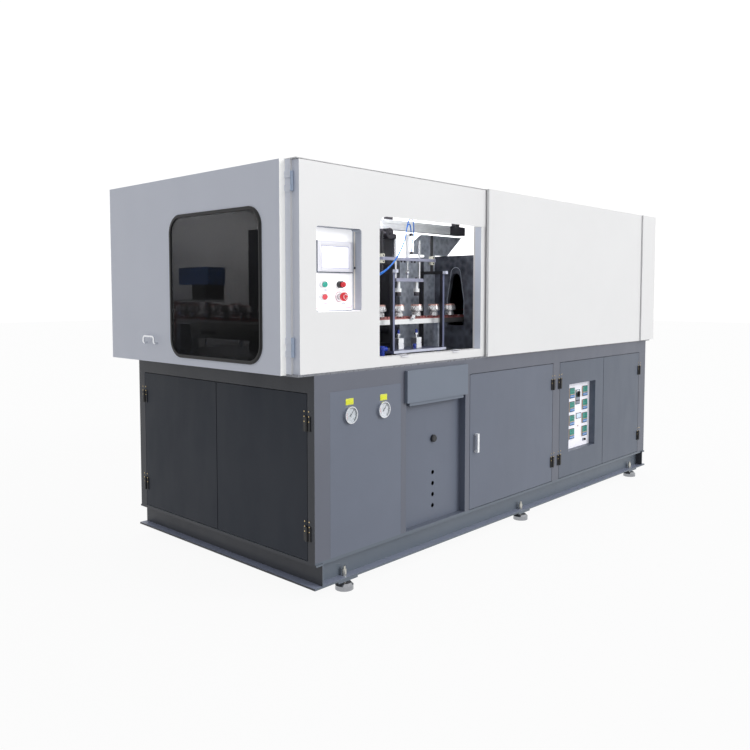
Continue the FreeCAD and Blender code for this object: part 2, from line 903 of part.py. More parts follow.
def cabinet_covers():
    """Plain sheets that close the back and the right end of the cabinet."""
    up = ("frame_bottom", "rail_bottom")
    back = ("cabinet_depth - sheet", "cabinet_depth")
    right = ("cabinet_length - sheet", "cabinet_length")
    end_y = ("post_depth", "cabinet_depth - post_depth")
    sub_part("cabinet_cover_panels",
             box(("gauge_bay_left", "valve_bay_right"), back, up),
             box(("electric_bay_left", "electric_bay_right"), back, up),
             box(right, end_y, up))


def gauges():
    """The fixed gauge panel with two pressure gauges set through it."""
    gap = "seat_gap"
    panel = pan((f"gauge_bay_left + {gap}", f"gauge_bay_right - {gap}"), ("0", "door_thick"),
                ("frame_bottom", f"rail_bottom - {gap}"), "+y")
    spots = [f"gauge_bay_left + gauge_first + {k}*gauge_pitch" for k in range(2)]
    through = ("-sheet", "2*sheet")
    holes = [rod("y", f"gauge_stem + {gap}", (x, "gauge_height"), through) for x in spots]
    sub_part("gauge_panel", cut(panel, *holes))
    bezel = "gauge_radius - gauge_bezel"
    dial = "gauge_depth - dial_recess"
    case = turned((("0", "-gauge_body_depth"), ("gauge_stem", "-gauge_body_depth"),
                   ("gauge_stem", "0"), ("gauge_radius", "0"), ("gauge_radius", "gauge_depth"),
                   (bezel, "gauge_depth"), (bezel, dial), ("0", dial)))
    lens_top = "gauge_depth - lens_recess"
    lens_low = f"{lens_top} - lens_thick"
    lens = turned((("0", lens_low), (f"{bezel} - {gap}", lens_low),
                   (f"{bezel} - {gap}", lens_top), ("0", lens_top)))
    sub_part("gauge_cases", *[copy_of(case, x, "0", "gauge_height", "-y") for x in spots])
    sub_part("gauge_lenses", *[copy_of(lens, x, "0", "gauge_height", "-y") for x in spots])
    half, tip = "needle_width/2", "needle_tip/2"
    pointer = plate("flat", ((f"-{half}", "-needle_tail"), (half, "-needle_tail"),
                             (tip, "needle_point"), (f"-{tip}", "needle_point")),
                    ("0", "0", f"{dial} + needle_lift"), "needle_thick")
    spindle = rod("z", "spindle_radius", ("0", "0"),
                  (f"{dial} + {gap}", f"{dial} + needle_lift + needle_thick"))
    needle = fuse(pointer, spindle)
    for x, label in zip(spots, ("gauge_needle_left", "gauge_needle_right")):
        sub_part(label, copy_of(needle, x, "0", "gauge_height", "-y", -40))


def recessed_bay():
    """The recessed service panel, its hood above and its quarter-turn lock."""
    gap = "seat_gap"
    back = "recess_depth + sheet"
    tray = pan((f"recess_bay_left + {gap}", f"recess_bay_right - {gap}"), ("0", back),
               ("frame_bottom", f"rail_bottom - {gap}"), "-y")
    through = ("recess_depth - sheet", f"{back} + sheet")
    holes = [rod("y", f"lock_stem_radius + {gap}", ("recess_bay_middle", "lock_height"), through)]
    for k in range(4):
        height = f"cable_hole_first + {k}*cable_hole_pitch"
        holes.append(rod("y", "cable_hole_radius", ("recess_bay_middle", height), through))
    sub_part("bay_panel", cut(tray, *holes))
    hood_x = ("recess_bay_left - hood_side", "recess_bay_right - hood_side/2")
    hood = pan(hood_x, ("-hood_depth", "0"), ("hood_bottom", "hood_top"), "+y")
    lip_x = (f"{hood_x[0]} + hood_lip_inset", f"{hood_x[1]} - hood_lip_inset")
    lip = box(lip_x, ("-hood_depth/2", f"recess_depth - {gap}"),
              ("hood_bottom - hood_lip_height", "hood_bottom"))
    sub_part("bay_hood", fuse(hood, lip))
    lock = turned((("0", "-lock_stem"), ("lock_stem_radius", "-lock_stem"),
                   ("lock_stem_radius", gap), ("lock_radius", gap),
                   ("lock_radius", "lock_head - lock_bevel"),
                   ("lock_radius - lock_bevel", "lock_head"), ("0", "lock_head")),
                  ("recess_bay_middle", "recess_depth", "lock_height"), "-y")
    sub_part("bay_lock", lock)


def hinge_half(side, moving):
    """Half of a lift-off hinge whose pin stands on the z axis; the wall lies behind it.
    The fixed leaf has the lower barrel and the pin, the moving leaf the upper barrel."""
    sign = "-" if (side == "right") == moving else ""
    wall = "hinge_barrel + seat_gap"
    half = "hinge_height/2"
    near, far = f"{sign}(hinge_barrel + leaf_clear)", f"{sign}hinge_leaf"
    leaf_x = (far, near) if sign else (near, far)
    bridge_x = (near, "0") if sign else ("0", near)
    leaf_y = (f"{wall} - hinge_leaf_thick", wall)
    own = ("seat_gap", half) if moving else (f"-{half}", "-seat_gap")
    leaf = box(leaf_x, leaf_y, (f"-{half}", half))
    bridge = box(bridge_x, leaf_y, own)
    barrel = rod("z", "hinge_barrel", ("0", "0"), own)
    body = fuse(leaf, bridge, barrel)
    if moving:
        bore = rod("z", "hinge_pin + pin_clearance", ("0", "0"), ("-1", f"{half} - bore_short"))
        return cut(body, bore)
    pin = rod("z", "hinge_pin", ("0", "0"), ("-1", f"{half} - pin_short"))
    return fuse(body, pin)


def lower_doors():
    """The five lower doors with their surface hinges and what is fixed to them."""
    fixed = {side: hinge_half(side, False) for side in ("left", "right")}
    moving = {side: hinge_half(side, True) for side in ("left", "right")}
    out = "-hinge_barrel - seat_gap"
    levels = ("hinge_low", "hinge_high")
    fixed_leaves = []

    def front_hinges(side, x):
        fixed_leaves.extend(copy_of(fixed[side], x, out, z) for z in levels)
        return [copy_of(moving[side], x, out, z) for z in levels]

    def end_hinges(side, y):
        turned_to_end = -90
        fixed_leaves.extend(copy_of(fixed[side], out, y, z, "z", turned_to_end) for z in levels)
        return [copy_of(moving[side], out, y, z, "z", turned_to_end) for z in levels]

    thick = ("0", "door_thick")
    tall = ("door_low", "door_high")
    valve_x = ("valve_bay_left + door_gap", "valve_bay_right - door_gap")
    sub_part("valve_door", pan(valve_x, thick, tall, "+y"),
             *front_hinges("right", "valve_bay_right - door_gap/2"))
    valve_pull()
    left_x = ("electric_bay_left + door_gap", "electric_seam - leaf_gap/2")
    sub_part("electrical_door_left", windowed_door(left_x, thick, tall),
             *front_hinges("left", "electric_bay_left + door_gap/2"))
    right_x = ("electric_seam + leaf_gap/2", "electric_bay_right - door_gap")
    sub_part("electrical_door_right", pan(right_x, thick, tall, "+y"),
             *front_hinges("right", "electric_bay_right - door_gap/2"))
    near_y = ("side_bay_near + door_gap", "side_seam - leaf_gap/2")
    sub_part("lower_end_door_front", pan(thick, near_y, tall, "+x"),
             *end_hinges("right", "side_bay_near + door_gap/2"))
    far_y = ("side_seam + leaf_gap/2", "side_bay_far - door_gap")
    sub_part("lower_end_door_back", pan(thick, far_y, tall, "+x"),
             *end_hinges("left", "side_bay_far - door_gap/2"))
    sub_part("hinge_fixed_leaves", *fixed_leaves)


def valve_pull():
    """A slim bridge pull with its finger gap, upright on the valve door."""
    low, high = "door_pull_low", "door_pull_low + door_pull_height"
    out, inner = "-door_pull_rise", "-door_pull_rise + door_pull_bar"
    profile = (("0", low), (out, low), (out, high), ("0", high),
               ("0", f"{high} - door_pull_foot"), (inner, f"{high} - door_pull_foot"),
               (inner, f"{low} + door_pull_foot"), ("0", f"{low} + door_pull_foot"))
    place = ("valve_bay_left + door_pull_from_edge - door_pull_width/2", "0", "0")
    sub_part("valve_door_handle", plate("side", profile, place, "door_pull_width"))


def windowed_door(x, y, z):
    """A door pan with the folded recess for the temperature panel."""
    hole = (("window_x", "window_x_end"), ("-1", "panel_face + 1"),
            ("panel_window_low", "window_z_end"))
    rim = (("window_x - sheet", "window_x_end + sheet"), ("0", "panel_face"),
           ("panel_window_low - sheet", "window_z_end + sheet"))
    return cut(fuse(pan(x, y, z, "+y"), box(*rim)), box(*hole))


def temperature_panel():
    """The instrument plate behind the door window: controllers, switch plate and selector."""
    face = "panel_face"
    back = "panel_face + sheet"
    board = box(("window_x - panel_margin", "window_x_end + panel_margin"), (face, back),
                ("panel_window_low - panel_margin", "window_z_end + panel_margin"))
    inset = "controller_inset"
    controllers, holes = [], []
    for left in ("window_x + controller_left", "window_x + controller_right"):
        for row in range(4):
            low = f"panel_window_low + controller_first + {row}*controller_pitch"
            right, high = f"{left} + controller_width", f"{low} + controller_height"
            front = box((left, right), (f"{face} - controller_proud", face), (low, high))
            case = box((f"{left} + {inset}", f"{right} - {inset}"),
                       (f"{face} - sheet", f"{face} + controller_depth"),
                       (f"{low} + {inset}", f"{high} - {inset}"))
            controllers.append(fuse(front, case))
            hole_x = (f"{left} + {inset} - seat_gap", f"{right} - {inset} + seat_gap")
            hole_z = (f"{low} + {inset} - seat_gap", f"{high} - {inset} + seat_gap")
            holes.append(box(hole_x, (f"{face} - sheet", f"{back} + sheet"), hole_z))
    plate_x, plate_z = "window_x + switch_plate_left", "panel_window_low + switch_plate_low"
    plate_face = f"{face} - switch_plate_proud"
    switch = box((plate_x, f"{plate_x} + switch_plate_width"), (plate_face, face),
                 (plate_z, f"{plate_z} + switch_plate_height"))
    display_x, display_z = "window_x + display_left", "panel_window_low + display_low"
    display = box((display_x, f"{display_x} + display_width"), (plate_face, face),
                  (display_z, f"{display_z} + display_height"))
    pilots = [rod("y", "pilot_radius", (f"window_x + {x}", f"panel_window_low + {z}"),
                  (f"{face} - pilot_proud", face))
              for x, z in (("pilot_left", "pilot_left_low"), ("pilot_right", "pilot_right_low"))]
    sub_part("temperature_panel", cut(board, *holes))
    sub_part("temperature_controllers", *controllers, switch, display, *pilots)
    knob_x = f"{plate_x} + switch_plate_width/2"
    knob_y = f"{plate_face} - seat_gap"
    knob_z = f"{plate_z} + switch_plate_height - switch_knob_drop"
    skirt = turned((("0", "0"), ("switch_knob_radius", "0"),
                    ("switch_knob_radius", "switch_knob_skirt/2"),
                    ("switch_knob_radius - switch_knob_bevel", "switch_knob_skirt"),
                    ("0", "switch_knob_skirt")), (knob_x, knob_y, knob_z), "-y")
    grip = box(about(knob_x, "switch_knob_radius/4"),
               (f"{knob_y} - switch_knob_depth", f"{knob_y} - switch_knob_skirt/2"),
               about(knob_z, "(switch_knob_radius - 1)"))
    sub_part("selector_knob", fuse(skirt, grip))


def electrical_plate():
    """The mounting plate that stands in the electrical bay, with a row of contactors."""
    face = "back_plate_standoff"
    left = "electric_bay_left + back_plate_margin"
    right = "electric_bay_right - back_plate_margin"
    board = box((left, right), (face, f"{face} + back_plate_thick"),
                ("frame_bottom", "rail_bottom - back_plate_head_gap"))
    rail_front = f"{face} - din_rail_depth"
    rail_low = "frame_bottom + din_rail_low"
    rail = box((f"{left} + din_rail_margin", f"{right} - din_rail_margin"), (rail_front, face),
               (rail_low, f"{rail_low} + din_rail_height"))
    block_low = "frame_bottom + contactor_low"
    blocks = []
    for k in range(int(value("contactor_count"))):
        start = f"{left} + contactor_first + {k}*contactor_pitch"
        blocks.append(box((start, f"{start} + contactor_width"),
                          (f"{rail_front} - contactor_depth", rail_front),
                          (block_low, f"{block_low} + contactor_height")))
    sub_part("electrical_mounting_plate", board, rail, *blocks)


def bed():
    """The machine bed and the rim bars that carry the enclosure."""
    rim = ("cabinet_top", "rim_top")
    wide = ("enclosure_left", "enclosure_right")
    inner_y = ("rim_width", "enclosure_back - rim_width")
    inner_x = ("enclosure_left + rim_width", "enclosure_right - rim_width")
    sub_part("deck_plate",
             box(wide, ("0", "rim_width"), rim),
             box(wide, (inner_y[1], "enclosure_back"), rim),
             box((wide[0], inner_x[0]), inner_y, rim),
             box((inner_x[1], wide[1]), inner_y, rim),
             box(inner_x, inner_y, ("cabinet_top", "bed_top")))


def enclosure_frame():
    """Square tube posts and head rails, the jamb post, the sill rail and the cross rails."""
    left = ("enclosure_left", "enclosure_left + tube")
    right = ("enclosure_right - sheet - tube", "enclosure_right - sheet")
    front = ("tube_setback", "tube_setback + tube")
    back = ("enclosure_back - sheet - tube", "enclosure_back - sheet")
    jamb = ("opening_right + sheet", "opening_right + sheet + tube")
    post = ("rim_top", "frame_top")
    head = ("frame_top - tube", "frame_top")
    between = (left[1], right[0])
    near = "frame_post_near + tube"
    solids = [
        box(left, ("frame_post_near", near), post),
        box(left, back, post),
        box(right, front, post),
        box(right, back, post),
        box(jamb, front, (post[0], head[0])),
        box(between, front, head),
        box(between, back, head),
        box(left, (near, back[0]), head),
        box(right, (front[1], back[0]), head),
        box((left[1], jamb[0]), front, ("rim_top", "opening_bottom")),
    ]
    for x in ("beam_hanger_left", "beam_hanger_right"):
        solids.append(box(about(x, "tube/2"), (front[1], back[0]), head))
    sub_part("enclosure_frame", *solids)


def enclosure_panels():
    """Roof, rear panel, right corner cover, front left panel and the inner panel behind it."""
    roof = (("enclosure_left", "0"), ("corner_left", "0"), ("corner_left", "corner_face"),
            ("enclosure_right", "corner_face"), ("enclosure_right", "enclosure_back"),
            ("enclosure_left", "enclosure_back"))
    sub_part("roof_panel", plate("flat", roof, ("0", "0", "frame_top"), "roof_thick"))
    back = ("enclosure_back - sheet", "enclosure_back")
    sub_part("upper_rear_panel",
             box(("enclosure_left", "enclosure_right"), back, ("rim_top", "frame_top")))
    inner_right = "enclosure_right - sheet"
    inner_left = "corner_left + sheet"
    fold = (("corner_left", "corner_face"), ("enclosure_right", "corner_face"),
            ("enclosure_right", back[0]), (inner_right, back[0]),
            (inner_right, "corner_face + sheet"), (inner_left, "corner_face + sheet"),
            (inner_left, "inner_panel_set"), ("corner_left", "inner_panel_set"))
    sub_part("right_end_cover",
             plate("flat", fold, ("0", "0", "rim_top"), "frame_top - rim_top"))
    outer_left = "-front_panel_left"
    tall = ("rim_top", "panel_top")
    shape = ((outer_left, tall[0]), ("opening_left", tall[0]),
             ("opening_left", "opening_top"), ("joint_x", "opening_top"),
             ("joint_x", tall[1]), (outer_left, tall[1]))
    face = plate("front", shape, ("0", "sheet", "0"), "sheet", "opening_radius", (2,))
    side = box((outer_left, f"{outer_left} + sheet"), ("0", "frame_post_near"), tall)
    hole = window("front", ("recess_left", "recess_low"), ("recess_right", "recess_high"),
                  ("0", "2*sheet", "0"), "3*sheet", "control_radius")
    sub_part("front_left_panel", cut(fuse(face, side), hole))
    deep = ("inner_panel_set", "inner_panel_back")
    sheet = box(("recess_right + inner_panel_gap", "slide_door_right"), deep, tall)
    hole = box(("opening_left - inner_panel_lap", "opening_right"),
               ("0", "inner_panel_back + sheet"),
               ("opening_bottom", "opening_top + inner_panel_lap"))
    jamb = box(("opening_right", "opening_right + sheet"), (deep[0], "jamb_return"),
               ("opening_bottom", "opening_top"))
    sub_part("opening_frame", fuse(cut(sheet, hole), jamb))


def sliding_door():
    """The folded front door; its hook lies over the top edges of the panels and slides on them."""
    wide = ("joint_x", "slide_door_right")
    door = pan(wide, ("slide_face", "slide_back"), ("slide_bottom", "enclosure_top"), "+y")
    shelf = box(wide, ("slide_face", "hook_back"), ("hook_low", "hook_low + sheet"))
    hook = box(wide, ("hook_back - sheet", "hook_back"), ("hook_low - hook_drop", "hook_low"))
    sub_part("sliding_door", fuse(door, shelf, hook))


def rounded(low, high, place, thickness, radius, grow="0"):
    """A rounded block for the end door: its corners are (y, z) pairs, pushed out on all sides."""
    spread = ((f"{low[0]} - ({grow})", f"{low[1]} - ({grow})"),
              (f"{high[0]} + {grow}", f"{high[1]} + {grow}"))
    return window("side", *spread, (place, "0", "0"), thickness, f"{radius} + {grow}")


def end_door():
    """The hinged end door with its gasketed window and bow handle."""
    low, high = ("window_near", "window_low"), ("window_far", "window_high")
    face = "end_door_face"
    radius = "window_radius"
    door = pan((face, "enclosure_left - seat_gap"), ("end_door_near", "end_door_far"),
               ("end_door_bottom", "end_door_top"), "+x")
    hole = rounded(low, high, f"{face} - sheet", "3*sheet", radius)
    leaves = []
    leaf_x = ("enclosure_left - seat_gap - hinge_leaf_thick", "enclosure_left - seat_gap")
    knuckle = "end_hinge_length/3"
    centre = ("end_hinge_x", "end_hinge_y")
    fixed = []
    for z in ("end_hinge_low", "end_hinge_high"):
        for start in (z, f"{z} + 2*{knuckle}"):
            span = (f"{start} + seat_gap", f"{start} + {knuckle} - seat_gap")
            leaf = box(leaf_x, ("end_hinge_y", "end_door_near"), span)
            barrel = fuse(rod("z", "end_hinge_radius", centre, span), leaf)
            bore = rod("z", "hinge_pin + pin_clearance", centre, (z, f"{z} + end_hinge_length"))
            leaves.append(cut(barrel, bore))
        span = (f"{z} + {knuckle}", f"{z} + 2*{knuckle}")
        block = box(about("end_hinge_x", "end_hinge_block"), ("end_hinge_y", "frame_post_near"), span)
        pin = rod("z", "hinge_pin", centre,
                  (f"{z} + end_pin_short", f"{z} + end_hinge_length - end_pin_short"))
        fixed.append(fuse(rod("z", "end_hinge_radius", centre, span), block, pin))
    sub_part("end_door", cut(door, hole), *leaves)
    sub_part("end_door_hinges", *fixed)
    proud = "gasket_proud"
    high_step = f"({proud} + gasket_step)"
    outer = rounded(low, high, f"{face} - {proud}", proud, radius, "gasket_flange")
    step = rounded(low, high, f"{face} - {high_step}", f"{high_step} + sheet", radius, "-seat_gap")
    bore = rounded(low, high, f"{face} - {high_step} - 1", f"{high_step} + 2*sheet", radius,
                   "-gasket_width")
    sub_part("end_door_gasket", cut(fuse(outer, step), bore))
    sub_part("end_door_window",
             rounded(low, high, f"{face} + sheet + seat_gap", "pane_thick", radius, "pane_lap"))
    sub_part("end_door_handle", bow_handle())


def bow_handle():
    """A round bow on the end door: its legs hang from the level bar and turn into the door."""
    face = value("end_door_face")
    out = face - value("bow_off")
    near, far = value("bow_near"), value("bow_far")
    foot, level = value("bow_foot"), value("bow_height")
    points = [[face, near, foot], [out, near, foot], [out, near, level],
              [out, far, level], [out, far, foot], [face, far, foot]]
    return swept("BowHandle", points, value("bow_radius"))


def control_box():
    """The recessed control box with the touch panel, push buttons, lamp and stop button."""
    wall = "control_back"
    outer = window("front", ("recess_left - sheet", "recess_low - sheet"),
                   ("recess_right + sheet", "recess_high + sheet"),
                   ("0", f"{wall} + sheet", "0"), f"{wall} - seat_gap", "control_radius + sheet")
    inner = window("front", ("recess_left", "recess_low"), ("recess_right", "recess_high"),
                   ("0", wall, "0"), f"{wall} + sheet", "control_radius")
    sub_part("control_box", cut(outer, inner))
    seat = f"{wall} - seat_gap"
    sub_part("touch_panel",
             box(("touch_left", "touch_left + touch_width"), (f"{seat} - touch_thick", seat),
                 ("touch_low", "touch_low + touch_height")))
    bezel = turned((("bezel_bore", "0"), ("bezel_radius", "0"), ("bezel_radius", "bezel_height"),
                    ("bezel_bore", "bezel_height")))
    lamp_top = "bezel_height + 2*button_rise"
    lamp = turned((("0", "0"), ("bezel_radius", "0"), ("bezel_radius", "bezel_height"),
                   ("button_radius", "bezel_height"),
                   ("button_radius", f"{lamp_top} - lamp_bevel"),
                   ("button_radius - lamp_bevel", lamp_top), ("0", lamp_top)))
    left, right = "button_column_left", "button_column_right"
    low, high = "button_row_low", "button_row_high"
    bezels = [copy_of(bezel, x, seat, z, "-y") for x, z in ((left, low), (left, high), (right, low))]
    sub_part("button_housings", *bezels, copy_of(lamp, right, seat, high, "-y"))
    start = "button_travel + seat_gap"
    top = "bezel_height + button_rise"
    push = turned((("0", start), ("button_radius", start),
                   ("button_radius", f"{top} - button_edge"),
                   ("button_radius - button_edge", top), ("0", top)))
    sub_part("green_button", copy_of(push, left, seat, high, "-y"))
    sub_part("red_button", copy_of(push, left, seat, low, "-y"))
    head = f"{top} + mushroom_height"
    mushroom = turned((("0", start), ("button_radius", start), ("button_radius", top),
                       ("mushroom_radius", top), ("mushroom_radius", f"{head} - mushroom_bevel"),
                       ("mushroom_radius - mushroom_bevel", head), ("0", head)))
    sub_part("emergency_stop", copy_of(mushroom, right, seat, low, "-y"))


# Centres of the four turns of the chain, each with the angle at which its quarter begins.
TURN_CENTRES = (("run_right", "turn_far_y", 0), ("run_left", "turn_far_y", 90),
                ("run_left", "turn_near_y", 180), ("run_right", "turn_near_y", 270))


def quarter_turns(half_width, z):
    """The four quarter turns of a band that follows the chain."""
    inner, outer = about("turn_radius", half_width)
    corner = turned(((inner, z[0]), (outer, z[0]), (outer, z[1]), (inner, z[1])), angle="90")
    return [copy_of(corner, x, y, "0", "z", spin) for x, y, spin in TURN_CENTRES]


def loop(half_width, z):
    """A band that follows the chain: four straight runs and four quarter turns, as solids."""
    solids = quarter_turns(half_width, z)
    for y in ("chain_front_y", "chain_back_y"):
        solids.append(box(("run_left", "run_right"), about(y, half_width), z))
    for x in ("chain_side_x", "chain_far_x"):
        solids.append(box(about(x, half_width), ("turn_near_y", "turn_far_y"), z))
    return solids


def conveyor():
    """The rail with its wear strip and feet, and the chain that carries the preform seats."""
    solids = loop("rail_width/2", ("rail_low", "rail_top"))
    solids += loop("wear_width/2", ("rail_top", "link_bottom"))
    up = ("bed_top", "rail_low")
    thin, long = "rail_foot_width/2", "rail_foot_length/2"
    columns = ["loader_x - rail_foot_left", "loader_x + rail_foot_right"]
    columns += [f"oven_left + rail_foot_oven + {k}*rail_foot_pitch" for k in range(3)]
    for x in columns:
        for y in ("chain_front_y", "chain_back_y"):
            solids.append(box(about(x, thin), about(y, long), up))
    for x in ("chain_side_x", "chain_far_x"):
        for y in ("turn_near_y + rail_foot_side", "turn_far_y - rail_foot_side"):
            solids.append(box(about(x, long), about(y, thin), up))
    half = "gearbox_width/2"
    bracket_x = about("run_left", half)
    column_y = ("chain_back_y + drive_column_gap",
                "chain_back_y + drive_column_gap + drive_column_deep")
    column = box(bracket_x, column_y, ("bed_top", "drive_plate_low"))
    top = box(bracket_x, (f"turn_far_y - {half}", column_y[1]), ("drive_plate_low", "gearbox_low"))
    hole = rod("z", "shaft_radius + shaft_hole_clearance", ("run_left", "turn_far_y"),
               ("rail_top", "motor_low"))
    solids.append(cut(fuse(column, top), hole))
    sub_part("conveyor_rail", *solids)
    chain()
    sprocket()


def chain():
    """Link plates on the open runs, plain bands in the turns and inside the oven, and the seats."""
    half = "link_width/2"
    z = ("link_bottom", "chain_top")
    solids = quarter_turns(half, z)
    open_run = value("oven_left") - value("run_left")
    step = value("link_width") + value("link_gap")
    for y in ("chain_front_y", "chain_back_y"):
        for k in range(int(open_run / step)):
            low = f"run_left + link_gap/2 + {k}*(link_width + link_gap)"
            solids.append(box((low, f"{low} + link_width"), about(y, half), z))
        solids.append(box(("oven_left", "run_right"), about(y, half), z))
    for k in range(int(value("side_run") / step)):
        low = f"turn_near_y + link_gap/2 + {k}*(link_width + link_gap)"
        solids.append(box(about("chain_side_x", half), (low, f"{low} + link_width"), z))
    solids.append(box(about("chain_far_x", half), ("turn_near_y", "turn_far_y"), z))
    seat = turned((("0", "0"), ("seat_foot", "0"), ("seat_foot", "seat_foot_height"),
                   ("seat_waist", "seat_waist_top"), ("seat_radius", "seat_brim_low"),
                   ("seat_radius", "seat_brim_high"), ("seat_mouth", "seat_height"),
                   ("0", "seat_height")))
    row = int(open_run / value("seat_pitch")) + 1
    spots = [(f"run_left + {k}*seat_pitch", y)
             for y in ("chain_front_y", "chain_back_y") for k in range(row)]
    for k in range(round(value("side_run") / value("seat_pitch"))):
        spots.append(("chain_side_x", f"turn_near_y + ({k} + 0.5)*seat_pitch"))
    spots.append(("run_left - turn_radius*cos(30)", "turn_near_y - turn_radius*sin(30)"))
    spots.append(("run_left - turn_radius*cos(30)", "turn_far_y + turn_radius*sin(30)"))
    solids += [copy_of(seat, x, y, "chain_top") for x, y in spots]
    sub_part("preform_chain", *solids)


def sprocket():
    """The toothed drive wheel in the rear left turn, on its upright shaft."""
    tip = "turn_radius - link_width/2 - sprocket_tip_gap"
    count = 2 * int(value("sprocket_teeth"))
    points = []
    for k in range(count):
        radius = f"({tip})" if k % 2 == 0 else f"({tip} - tooth_depth)"
        points.append((f"{radius}*cos({k}*360/{count})", f"{radius}*sin({k}*360/{count})"))
    low = "link_bottom + seat_gap"
    wheel = plate("flat", points, ("run_left", "turn_far_y", low), "sprocket_thick")
    centre = ("run_left", "turn_far_y")
    hub = rod("z", "sprocket_hub", centre, (f"{low} - hub_below", f"{low} + hub_above"))
    shaft = rod("z", "shaft_radius", centre, (f"{low} - shaft_below", "gearbox_low - seat_gap"))
    sub_part("drive_sprocket", fuse(wheel, hub, shaft))


def servo():
    """The gearbox and motor that turn the sprocket."""
    half = "gearbox_width/2"
    gearbox = box(about("run_left", half), about("turn_far_y", half), ("gearbox_low", "motor_low"))
    body = box(about("run_left", "motor_width/2"), ("motor_near", "motor_near + motor_length"),
               ("motor_low", "motor_low + motor_height"))
    sub_part("servo_motor", fuse(gearbox, body))


def loader():
    """The portal over the chain, the air cylinders, the gripper carriage and the lift rods."""
    line = "chain_front_y"
    base_plate = box(("portal_left - portal_margin", "portal_right + portal_margin"),
                     ("portal_y - portal_margin", "portal_back + portal_margin"),
                     ("portal_plate_low", "portal_plate_top"))
    solids = [base_plate]
    feet_x = about("loader_x", "(portal_half_span - portal_foot_inset)")
    feet_y = ("portal_y + portal_foot_inset/2", "portal_back - portal_foot_inset/2")
    for x in feet_x:
        for y in feet_y:
            solids.append(rod("z", "portal_foot_radius", (x, y), ("bed_top", "portal_plate_low")))
    upright = ("portal_plate_top", "arm_low")
    arm_z = ("arm_low", "portal_top")
    collar_spans = (("top_plate_z - collar_height", "top_plate_z"),
                    ("top_plate_top", "top_plate_top + collar_height"))
    for x in ("portal_left", "portal_right"):
        wide = about(x, "post_wide/2")
        front = box(wide, ("portal_y", "portal_y + post_deep"), upright)
        rear = box(wide, ("portal_back - post_deep", "portal_back"), upright)
        arm = box(wide, ("portal_y", "portal_back"), arm_z)
        cap = box(about(x, "cap_wide/2"), ("portal_y - arm_reach", "portal_y"), arm_z)
        hanger = rod("z", "hanger_radius", (x, line), ("arm_low", "hanger_top"))
        collars = [rod("z", "collar_radius", (x, line), span) for span in collar_spans]
        solids += [front, rear, fuse(arm, hanger, *collars), cap]
    top = box(("portal_left - top_plate_margin", "portal_right + top_plate_margin"),
              about(line, "top_plate_width/2"), ("top_plate_z", "top_plate_top"))
    through = ("arm_low", "guide_top")
    holes = [rod("z", "guide_radius + slide_clearance", (x, line), through)
             for x in about("loader_x", "guide_offset")]
    holes.append(rod("z", "rod_radius + slide_clearance", ("loader_x", line), through))
    holes += [rod("z", "hanger_radius", (x, line), through) for x in ("portal_left", "portal_right")]
    solids.append(cut(top, *holes))
    sub_part("loading_frame", *solids)
    air_cylinders(line)
    gripper_carriage(line)


def seat_positions():
    return ("loader_seat_x", "loader_seat_x + seat_pitch")


def ports():
    """The two air fittings of the loading cylinder: the middle in x and the top of each."""
    return (("loader_x + upper_port_right", "top_plate_top + upper_port_rise"),
            ("loader_x + lower_port_right", "top_plate_top + lower_port_rise"))


def air_cylinders(line):
    """The loading cylinder with its two fittings, and the two lift cylinders."""
    bore = "rod_radius + slide_clearance"
    deep = "carriage_travel + cylinder_bore_spare"
    barrel = turned(((bore, "0"), ("cylinder_radius", "0"), ("cylinder_radius", "cylinder_length"),
                     ("0", "cylinder_length"), ("0", deep), (bore, deep)),
                    ("loader_x", line, "top_plate_top"))
    fittings = [box(about(x, "port_size/2"), (f"{line} - port_reach", f"{line} - port_set"),
                    (f"{z} - port_size", z)) for x, z in ports()]
    lifts = []
    for x in seat_positions():
        block = box(about(x, "lift_size/2"), about(line, "lift_size/2"),
                    ("portal_plate_top", "lift_top"))
        hole = rod("z", "lift_rod_radius + slide_clearance", (x, line),
                   ("lift_top + lift_rod_rise - lift_rod_length - lift_bore_spare", "lift_top + 1"))
        groove_z = about("(portal_plate_top + lift_top)/2", "lift_groove/2")
        groove = box(about(x, "lift_size"),
                     (f"{line} - lift_size/2 - 1", f"{line} - lift_size/2 + lift_groove_deep"),
                     groove_z)
        lifts.append(cut(block, hole, groove))
    sub_part("air_cylinders", fuse(barrel, *fittings), *lifts)
    rods = []
    for x in seat_positions():
        cap_low = "lift_top + lift_rod_rise"
        cap = rod("z", "lift_cap_radius", (x, line), (cap_low, f"{cap_low} + lift_cap_height"))
        stem = rod("z", "lift_rod_radius", (x, line), (f"{cap_low} - lift_rod_length", cap_low))
        rods.append(fuse(stem, cap))
    sub_part("lift_rods", *rods)


def gripper_carriage(line):
    """The plate that carries both gripper heads, its guide rods, the piston rod and its ball."""
    block = box(about("loader_x", "carriage_half"), about(line, "carriage_width/2"),
                ("carriage_plate_z", "carriage_top"))
    pieces = [block]
    for x in about("loader_x", "guide_offset"):
        pieces.append(rod("z", "guide_radius", (x, line), ("carriage_plate_z", "guide_top")))
    pieces.append(rod("z", "rod_radius", ("loader_x", line),
                      ("carriage_plate_z", "top_plate_top + carriage_travel + rod_spare")))
    flat, round_part = "ball_radius*0.5", "ball_radius*0.45"
    pieces.append(turned((("0", "-ball_radius"), (flat, "-ball_radius"),
                          ("ball_radius", f"-{round_part}"), ("ball_radius", round_part),
                          (flat, "ball_radius"), ("0", "ball_radius")),
                         ("loader_x", line, "carriage_top + ball_rise")))
    for x in seat_positions():
        pieces.append(rod("z", "neck_radius", (x, line), ("neck_low", "carriage_plate_z")))
        pieces.append(rod("z", "head_radius", (x, line), ("head_low", "neck_low")))
        pieces.append(rod("z", "tip_radius", (x, line), ("head_low - tip_length", "head_low")))
    sub_part("gripper_carriage", fuse(*pieces))


